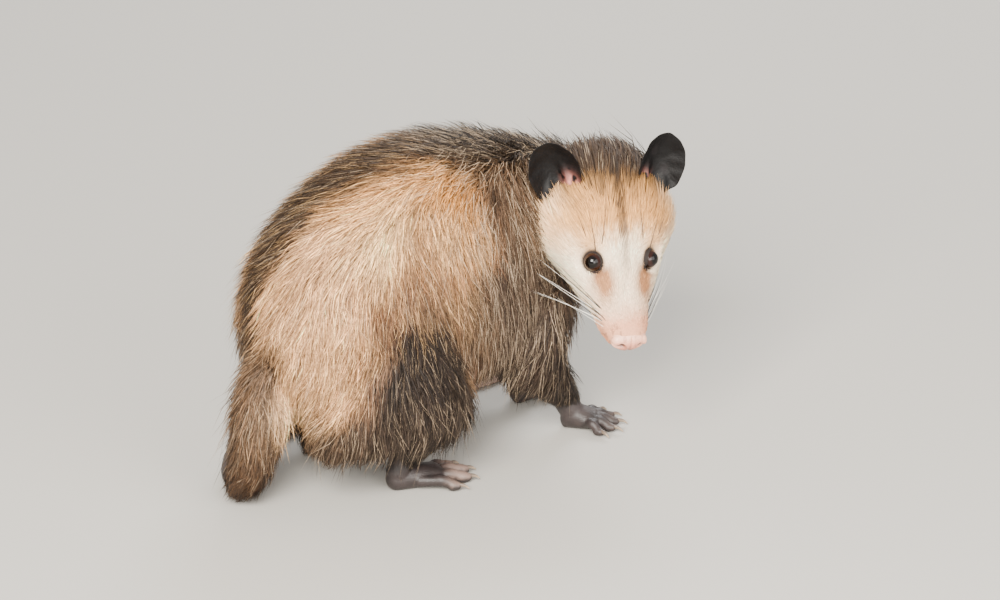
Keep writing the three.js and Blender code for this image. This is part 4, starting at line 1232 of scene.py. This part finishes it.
# Shares of a lock's width at its stations, by their number. The last station is the tip.
TAPER = {4: (0.75, 1.0, 0.68), 3: (0.8, 0.85)}
LOCK_RIDGE = 0.28
SKIN_SHADING = 0.65
PATCH = 0.003


def lock_mesh(lines, normals, widths):
    """Closed three-sided tapering locks round lines of points. Gives vertices, triangles and
    the number of vertices in one lock."""
    count, stations = lines.shape[:2]
    tangent = unit(np.gradient(lines, axis=1))
    lean = rng.normal(0, 0.5, count)
    verts = []
    for k, share in enumerate(TAPER[stations]):
        across = turned(unit(np.cross(normals, tangent[:, k])), tangent[:, k], lean)
        ridge = unit(np.cross(tangent[:, k], across))
        half = (widths * share / 2)[:, None]
        verts.append(lines[:, k] + across * half)
        verts.append(lines[:, k] + ridge * half * 2 * LOCK_RIDGE)
        verts.append(lines[:, k] - across * half)
    verts.append(lines[:, -1])
    verts = np.stack(verts, 1)
    per = verts.shape[1]
    edges = ((0, 1), (1, 2), (2, 0))
    faces = []
    for low in range(0, 3 * (stations - 2), 3):
        high = low + 3
        for a, b in edges:
            faces += [(low + a, low + b, high + b), (low + a, high + b, high + a)]
    faces += [(per - 4 + a, per - 4 + b, per - 1) for a, b in edges]
    faces.append((0, 2, 1))
    faces = np.array(faces)
    all_faces = (np.arange(count) * per)[:, None, None] + faces[None]
    return verts.reshape(-1, 3), all_faces.reshape(-1, 3), per


def soften(obj, normals, per):
    """Turns the shading of each lock towards the skin it grows from."""
    own = normals_of(obj)
    leaning = unit(own * (1 - SKIN_SHADING) + np.repeat(normals, per, axis=0) * SKIN_SHADING)
    obj.data.normals_split_custom_set_from_vertices(leaning.tolist())


def coat_piece(name, lines, normals, widths, tones, unwrap, finish):
    """One joined piece of coat: tones are one colour per station of each lock."""
    verts, faces, per = lock_mesh(lines, normals, widths)
    obj = mesh_object(name, placed(verts), faces)
    stations = lines.shape[1]
    spread = np.concatenate([np.repeat(np.arange(stations - 1), 3), [stations - 1]])
    paint_vertices(obj, tones[:, spread].reshape(-1, 3))
    layer = obj.data.uv_layers.new(name="OFBake")
    across = np.concatenate([np.tile([-0.5, 0.0, 0.5], stations - 1), [0.0]])
    ahead = spread / (stations - 1) - 0.5
    patch = np.stack([across, ahead], -1) * PATCH
    uv = (unwrap[:, None, :] + patch[None]).reshape(-1, 2)[faces.ravel()]
    layer.data.foreach_set("uv", uv.astype(np.float32).ravel())
    shade_smooth(obj)
    soften(obj, normals, per)
    finish_piece(obj, finish)


def near_locks(unwrap, limit):
    """The locks of each piece, no more than the limit, sorted by their way along the body."""
    order = np.argsort(unwrap[:, 1] + 0.001 * rng.random(len(unwrap)))
    return [order[start:start + limit] for start in range(0, len(order), limit)]


BACKWARD = np.array([-0.84, -0.54, 0])
MANE_BACKWARD = np.array([-0.98, 0.02, 0.2])


def swirl(way, places, normals, share=1.0):
    """Turns the lie a little, in broad waves and in small locks."""
    angle = 0.3 * noise(places, 40, 31) + 0.3 * noise(places, 13, 33) + 0.26 * noise(places, 5, 35)
    return turned(way, normals, angle * share)


def body_lie(places, normals):
    high = np.clip(normals[:, 2:], 0, 1)
    front = smooth(58, 84, places[:, 0])[:, None]
    back = BACKWARD * (1 - front) + MANE_BACKWARD * front
    flank_back = mix(0.14, 0.5, front)
    way = back * mix(flank_back, 1, high ** 2.6)
    way = way + np.array([0, 0, -1.0]) * mix(1.0, 0.15, high ** 2)
    low = smooth(80, 50, places[:, 2])[:, None]
    way = way * (1 - 0.5 * low) + np.array([-0.1, -0.06, -1.0]) * 0.5 * low
    tail_part = (smooth(-96, -106, places[:, 0]) * smooth(110, 80, places[:, 2]))[:, None]
    splay = smooth(48, 26, places[:, 2])[:, None]
    down = np.array([-0.08, -0.04, -1.0]) * (1 - splay) + np.array([-0.42, -0.12, -0.85]) * splay
    way = way * (1 - tail_part) + down * tail_part
    return swirl(unit(way), places, normals)


def unwrapped(right, above, share):
    """Places on a map: the angle round the body across it, the way along the body up it."""
    turn = np.arctan2(right, above) / (2 * math.pi) + 0.5
    return np.stack([0.03 + 0.94 * turn, 0.03 + 0.94 * np.clip(share, 0, 1)], -1)


def trunk_unwrap(places):
    best, right, above = beside_spine(places)
    return unwrapped(right, above, SPINE_LOOKS[best] / trunk.last)


def head_unwrap(places):
    s, r, u = to_head(places)
    return unwrapped(r, u, (s + 18) / 145)


HEAD_OVERLAP = 4


def inside_head(p):
    """Whether places lie deep enough in the head that no body hair grows there."""
    looks = np.linspace(0, head.last, 25)
    centres = head.centre(looks)
    heading, side, up = head.frame(looks)
    size = along(head.rows[:, 3:], looks) - HEAD_OVERLAP
    inside = np.zeros(len(p), bool)
    for k in range(len(looks)):
        d = p - centres[k]
        high = d @ up[k]
        tall = np.where(high > 0, size[k, 1], size[k, 2])
        ratio = (d @ side[k] / size[k, 0]) ** 2 + (high / tall) ** 2 + (d @ heading[k] / 5) ** 2
        inside |= ratio < 1
    return inside


def body_density(middle, normals):
    """Locks per square millimetre over the body."""
    area = np.ones(len(middle))
    area *= mix(1.0, 0.45, smooth(-0.3, -0.8, normals[:, 2]))
    area *= mix(1.0, 1.5, smooth(60, 40, middle[:, 2]))
    area *= ~inside_head(middle)
    return area


def lock_tones(base, p, stations):
    """Colours at the stations of each lock: darker roots, some dark or silver tips."""
    count = len(base)
    light = np.exp(rng.normal(0, 0.3, count))[:, None]
    streak = noise(p * np.array([1, 1, 0.6]), 3.6, 41)
    streak = streak + 0.7 * noise(p * np.array([1, 1, 0.5]), 11, 43)
    base = base * light * np.exp(0.36 * streak)[:, None]
    tones = np.empty((count, stations, 3))
    kind = rng.random(count)
    tip = base.copy()
    dark = kind < 0.3
    tip[dark] = blend(base[dark], TONES["slate"] * 0.5, 0.85)
    shaded = smooth(0.2, 0.08, base.mean(1))
    pale = kind > mix(0.78, 0.86, shaded)
    length, _, _ = on_trunk(p)
    greyer = np.maximum(smooth(0.4, 0.55, length), shaded * smooth(130, 100, p[:, 2]))
    light_tip = blend(TONES["cream"], TONES["silver"], greyer)
    share = mix(0.36, 0.6, smooth(0.05, 0.25, base.mean(1)))
    tip[pale] = blend(base[pale], light_tip[pale], share[pale])
    for k in range(stations):
        f = k / (stations - 1)
        tones[:, k] = base * mix(0.62, 1.0, min(1, f * 2.2))
        if f > 0.3:
            tones[:, k] = blend(tones[:, k], tip, np.full(count, min(1, (f - 0.3) * 1.8)))
    return np.clip(tones, 0.002, 0.98)


SHORT_STOPS = (0, 0.5, 1)
LAYERS = [  # density share, length mm, lift mm, width mm, stops along the lock, triangles a lock
    (0.35, 18.0, 8.5, 0.9, SHORT_STOPS, 10),
    (0.27, 22.5, 12.5, 0.74, SHORT_STOPS, 10),
    (0.14, 26.0, 13.2, 0.72, (0, 0.36, 0.7, 1), 16),
]
PIECE_TRIANGLES = 196000
FACE_PIECE_LOCKS = 19500


def veering(lie, veer):
    """The lie turned a little, each hair its own way."""
    return lambda places, out: turned(lie(places, out), out, veer)


def build_body_coat(ground, finish):
    """The layers of overlapping locks on body, limbs and tail root."""
    number = 1
    for share, longest, highest, wide, stops, triangles in LAYERS:
        roots, normals = ground.scatter(lambda middle, out: share * body_density(middle, out))
        count = len(roots)
        leg = smooth(58, 38, roots[:, 2]) * smooth(-86, -70, roots[:, 0])
        tailed = smooth(-96, -108, roots[:, 0]) * smooth(100, 70, roots[:, 2])
        size = np.exp(rng.normal(0, 0.2, count))
        length = mix(mix(longest, 12.0, leg), 0.9 * longest, tailed) * size
        _, drop, _ = on_trunk(roots)
        length *= mix(1.0, 1.2, smooth(0.3, 0.1, drop))
        height = roots[:, 2]
        curtain = smooth(-66, -84, roots[:, 0]) * smooth(110, 84, height) * smooth(40, 56, height)
        length *= mix(1.0, 1.35, curtain * (1 - tailed))
        lift = mix(mix(highest, 3.0, leg), 0.68 * highest, tailed)
        lift = lift * mix(0.4, 1.1, rng.random(count) ** 0.8)
        lift *= mix(1.0, 1.35, smooth(0.22, 0.06, drop))
        loose = np.clip(0.32 + 0.24 * rng.normal(size=count), 0, 0.9)
        loose = mix(loose, 0.25, leg)
        lie = veering(body_lie, rng.normal(0, 0.24, count))
        lines = curves(ground, roots, normals, lie, length, lift, loose, 0.1, stops)
        lines = clumped(lines, 7, 0.4 * (1 - 0.6 * leg))
        widths = mix(wide, 0.7 * wide, leg) * np.exp(rng.normal(0, 0.25, count))
        showing = shown(lines)
        tones = lock_tones(body_tone(showing), showing, len(stops))
        unwrap = trunk_unwrap(roots)
        for pick in near_locks(unwrap, PIECE_TRIANGLES // triangles):
            coat_piece(f"coat_body_{number}", lines[pick], normals[pick], widths[pick], tones[pick],
                       unwrap[pick], finish)
            number += 1


def shown(lines):
    """The place that a lock shows best, which gives it its colour."""
    return lines[:, 0] + 0.6 * (lines[:, -1] - lines[:, 0])


def shaded_along(base, shares):
    """A colour for each station of each lock, from one colour a lock and a share a station."""
    return np.repeat(base[:, None], len(shares), 1) * np.array(shares)[None, :, None]


GUARD_LENGTH, GUARD_LIFT, GUARD_WIDTH = 37, (14.0, 17.5), 0.36


def guard_density(middle, normals):
    """Guard hairs per square millimetre."""
    _, drop, _ = on_trunk(middle)
    area = 0.07 * smooth(46, 66, middle[:, 2]) * mix(1.0, 1.7, smooth(0.4, 0.15, drop))
    return area * smooth(-0.5, 0, normals[:, 2]) * ~inside_head(middle)


def build_guard_hair(ground, finish):
    """Long single hairs that stand over the coat, silver or dark."""
    roots, normals = ground.scatter(guard_density)
    count = len(roots)
    share, drop, _ = on_trunk(roots)
    length = GUARD_LENGTH * np.exp(rng.normal(0, 0.18, count))
    lift = mix(*GUARD_LIFT, smooth(0.3, 0.08, drop)) * (0.6 + 0.5 * rng.random(count))
    loose = np.clip(0.5 + 0.2 * rng.normal(size=count), 0, 1)
    lie = veering(body_lie, rng.normal(0, 0.3, count))
    lines = curves(ground, roots, normals, lie, length, lift, loose, 0.12, SHORT_STOPS)
    widths = GUARD_WIDTH * np.exp(rng.normal(0, 0.2, count))
    silver = rng.random(count) < mix(0.3, 0.7, smooth(0.4, 0.6, share))
    base = np.where(silver[:, None], TONES["silver"], TONES["dark"])
    base = blend(body_tone(shown(lines)), base, mix(0.5, 0.75, smooth(0.42, 0.56, share)))
    tones = shaded_along(base, (0.5, 0.95, 1.1))
    coat_piece("coat_guard_hair", lines, normals, widths, tones, trunk_unwrap(roots), finish)


def face_lie(places, normals):
    _, r, _ = to_head(places)
    side = np.sign(r) * smooth(2, 30, np.abs(r))
    way = -head_axis + head_right * (side * 0.3)[:, None]
    way = way - head_up * (0.25 * np.abs(side))[:, None]
    return swirl(unit(way), places, normals, 0.55)


def face_density(middle, _):
    """Locks per square millimetre over the head: none on lids, nose pad and ears."""
    s, _, _ = to_head(middle)
    area = mix(1.7, 0.8, smooth(90, 40, s)) * mix(1, 0.7, smooth(20, 6, s))
    area = area * (s < 115.5)
    for _, hand in HANDS:
        share, _, out = round_eye(hand, middle)
        area = area * ~((share < 1.13) & (out > -3))
        base, long, facing, across = ear_frame(hand)
        d = middle - base
        ahead = d @ facing
        area = area * ~((np.abs(d @ across) < 15) & (ahead > -7) & (ahead < 4) & (d @ long < 20))
    return area


# Place along the head and length of the face fur, and the same with the width of its locks
FACE_LENGTHS = [(-16, 22), (-6, 28), (6, 28), (18, 18), (32, 12), (62, 8), (88, 5.4), (104, 3.8),
                (116, 2.8)]
FACE_WIDTHS = [(0, 0.95), (40, 0.8), (80, 0.6), (115, 0.5)]


def build_face_coat(ground, finish):
    """Short fur of the face, longer on the cheeks and the crown."""
    roots, normals = ground.scatter(face_density)
    count = len(roots)
    s, r, _ = to_head(roots)
    length = np.interp(s, *zip(*FACE_LENGTHS))
    cheek = smooth(24, 42, np.abs(r)) * smooth(70, 45, s)
    length = length * mix(1.0, 1.9, cheek)
    near_eye = np.min([np.linalg.norm(roots - eye_place(hand), axis=-1) for _, hand in HANDS], axis=0)
    length = length * mix(0.26, 1.0, smooth(8, 18, near_eye)) * np.exp(rng.normal(0, 0.15, count))
    lift = length * mix(0.22, 0.42, smooth(24, 4, s)) * (0.45 + 0.8 * rng.random(count))
    lift = lift * mix(1.0, 1.3, cheek)
    loose = 0.3 + 0.5 * cheek * rng.random(count)
    lie = veering(face_lie, rng.normal(0, 0.12 + 0.14 * cheek))
    lines = curves(ground, roots, normals, lie, length, lift, loose, 0.0, SHORT_STOPS)
    lines[:, 0] -= normals * 0.2
    lines = clumped(lines, 8, 0.3 * smooth(4, 12, length))
    widths = np.interp(s, *zip(*FACE_WIDTHS)) * np.exp(rng.normal(0, 0.18, count))
    light = rng.normal(0, mix(0.13, 0.25, smooth(24, 6, s)), count)
    base = face_tone(roots) * np.exp(light)[:, None]
    silver = (rng.random(count) < 0.12) & (s < 18)
    tips = np.where(silver[:, None], TONES["silver"], base)
    tones = shaded_along(base, (0.78, 0.97, 1.04))
    tones[:, 2] = mix(tones[:, 2], tips, 0.8)
    unwrap = head_unwrap(roots)
    for number, pick in enumerate(near_locks(unwrap, FACE_PIECE_LOCKS), 1):
        coat_piece(f"coat_face_{number}", lines[pick], normals[pick], widths[pick],
                   np.clip(tones[pick], 0, 0.95), unwrap[pick], finish)


# Each hair: place along the head, turn from the top, length, lean outward and up, bend, dark or not
MUZZLE_WHISKERS = [
    (103, 52, 66, 0.62, -0.10, 0.16, True), (100, 60, 84, 0.74, -0.16, 0.22, True),
    (106, 58, 60, 0.80, -0.22, 0.20, True), (104, 68, 74, 0.95, -0.30, 0.24, False),
    (109, 64, 52, 0.90, -0.25, 0.20, True), (107, 76, 66, 1.10, -0.38, 0.26, False),
    (101, 72, 78, 1.00, -0.30, 0.28, False), (111, 74, 44, 1.00, -0.30, 0.22, False),
    (98, 66, 70, 0.80, -0.20, 0.20, False), (110, 54, 46, 0.70, -0.10, 0.18, True),
    (105, 84, 58, 1.15, -0.45, 0.28, False),
]
BROW_WHISKERS = [
    (60, 26, 58, -0.14, 0.8, 0.2, True), (56, 40, 34, 0.5, 0.75, 0.2, True),
    (62, 34, 40, 0.25, 0.85, 0.2, True),
]
CHEEK_WHISKERS = [(54, 92, 40, 0.95, 0.0, 0.2, True), (50, 98, 34, 1.0, -0.1, 0.2, False)]
WHISKER_GROUPS = [(MUZZLE_WHISKERS, 0.36), (BROW_WHISKERS, 0.34), (CHEEK_WHISKERS, 0.26)]
LEFT_SHORTER = 0.72


def build_whiskers():
    """Stiff hairs of the muzzle, brow and cheek, swept back."""
    shells, tones = [], []
    whisker_rng = np.random.default_rng(SEED + 5)
    for _, hand in HANDS:
        for hairs, thick in WHISKER_GROUPS:
            for s, turn, length, aside, rise, droop, dark in hairs:
                s = s + whisker_rng.uniform(-1, 1)
                angle = rad(turn + whisker_rng.uniform(-3, 3)) * hand
                station = np.interp(s, HEAD_PLACES, range(len(HEAD_PLACES)))
                root = head.point(np.array([station]), np.array([angle]), -2)[0]
                length = length * whisker_rng.uniform(0.92, 1.08) * (LEFT_SHORTER if hand < 0 else 1)
                way = unit(head_right * hand * aside + head_up * rise - head_axis)
                bend = unit(-head_axis * 0.6 - head_up + whisker_rng.normal(0, 0.2, 3))
                f = np.linspace(0, 1, 12)
                line = root + way * (f * length)[:, None] + bend * (droop * length * f ** 2)[:, None]
                breadth = thick * (1.0 if dark else 0.5) * (1 - 0.93 * f)
                rows = [(*p, w, w) for p, w in zip(line, breadth)]
                shell = Form(rows, (0.1, 0.05), ref=head_up).shell(22, 5, caps=2)
                shells.append(shell)
                colour = srgb(30, 24, 22) if dark else srgb(244, 238, 226)
                tones.append(np.broadcast_to(colour, shell[0].shape))
    obj = joined_shells("whiskers", shells)
    paint_vertices(obj, np.concatenate(tones))
    shade_smooth(obj)
    return obj


# ---- putting it together ----------------------------------------------------------------------

coat = coat_finish("fur", 0.6, 1.5)
face_fur = coat_finish("face_fur", 0.65, 0.3)
under_coat = skin_finish("under_coat", 0.85, 700, 0.0006, 0.5)
bare_feet = skin_finish("bare_feet", 0.5, 900, 0.0004, 0.6)

body = build_body()
head_skin = build_head()
finish_piece(body, under_coat, (
    "rump", "loin", "chest", "neck", "tail_root", "thigh_right", "thigh_left", "upper_arm_right",
    "upper_arm_left", "shank_right", "shank_left", "forearm_right", "forearm_left"))
finish_piece(head_skin, under_coat, ("head",))
for name, hand in HANDS:
    wet = plain_finish("wet_eye", 0.06, Specular_IOR_Level=0.32)
    finish_piece(build_eye(f"eyeball_{name}", hand), wet, (f"eye_{name}",))
    finish_piece(build_ear(f"ear_skin_{name}", hand), ear_finish(), (f"ear_{name}",))
finish_piece(build_nose(), nose_finish(), ("nose",))
feet, claws = build_feet()
for (kind, name), foot in feet.items():
    finish_piece(foot, bare_feet, (f"{kind}_foot_{name}",))
finish_piece(claws, plain_finish("horn", 0.35))
finish_piece(build_tail(), tail_finish(), ("tail_base", "tail_middle", "tail_end"))

body_ground = Ground(body)
build_body_coat(body_ground, coat)
build_guard_hair(body_ground, coat)
build_face_coat(Ground(head_skin), face_fur)
finish_piece(build_whiskers(), plain_finish("whisker", 0.4))

# ---- studio -----------------------------------------------------------------------------------

CAMERA_TARGET = placed([48, 75, 106])
CAMERA_RISE, CAMERA_DISTANCE, FOCAL = 24, 3.4, 177.4


LIGHTS = [  # name, place, power, size, colour and the place it looks at
    ("key", (-0.5, -1.9, 1.5), 186, 1.2, (1.0, 0.95, 0.87), CAMERA_TARGET),
    ("fill", (1.6, -1.4, 0.9), 38, 1.6, (1.0, 0.96, 0.92), CAMERA_TARGET),
    ("rim", (0.4, 1.6, 1.5), 40, 1.0, (1, 1, 1), CAMERA_TARGET),
    ("face", (0.34, -0.85, 0.34), 5.5, 0.4, (1.0, 0.96, 0.9), placed([138, 45, 140])),
]


def area_light(name, place, power, size, colour, aim):
    data = bpy.data.lights.new(name, "AREA")
    data.energy, data.size, data.color = power, size, colour
    light = bpy.data.objects.new(name, data)
    bpy.context.scene.collection.objects.link(light)
    light.location = Vector(place)
    light.rotation_euler = (Vector(aim) - Vector(place)).to_track_quat("-Z", "Y").to_euler()


def build_studio():
    deselect()
    bpy.ops.mesh.primitive_plane_add(size=12)
    floor = bpy.context.active_object
    floor.name = "floor"
    board = Board("pale_floor")
    board.set(Base_Color=srgb(172, 169, 163), Roughness=0.8)
    floor.data.materials.append(board.material)
    camera = bpy.data.objects.new("camera", bpy.data.cameras.new("camera"))
    bpy.context.scene.collection.objects.link(camera)
    camera.data.lens, camera.data.sensor_width = FOCAL, 36
    camera.data.clip_end = 100
    back = Vector((0, -math.cos(rad(CAMERA_RISE)), math.sin(rad(CAMERA_RISE))))
    camera.location = Vector(CAMERA_TARGET) + back * CAMERA_DISTANCE
    camera.rotation_euler = (-back).to_track_quat("-Z", "Y").to_euler()
    bpy.context.scene.camera = camera
    for light in LIGHTS:
        area_light(*light)
    world = bpy.data.worlds.new("studio")
    world.use_nodes = True
    background = world.node_tree.nodes["Background"]
    background.inputs["Color"].default_value = (1.0, 0.97, 0.93, 1)
    background.inputs["Strength"].default_value = 0.94
    bpy.context.scene.world = world


build_studio()
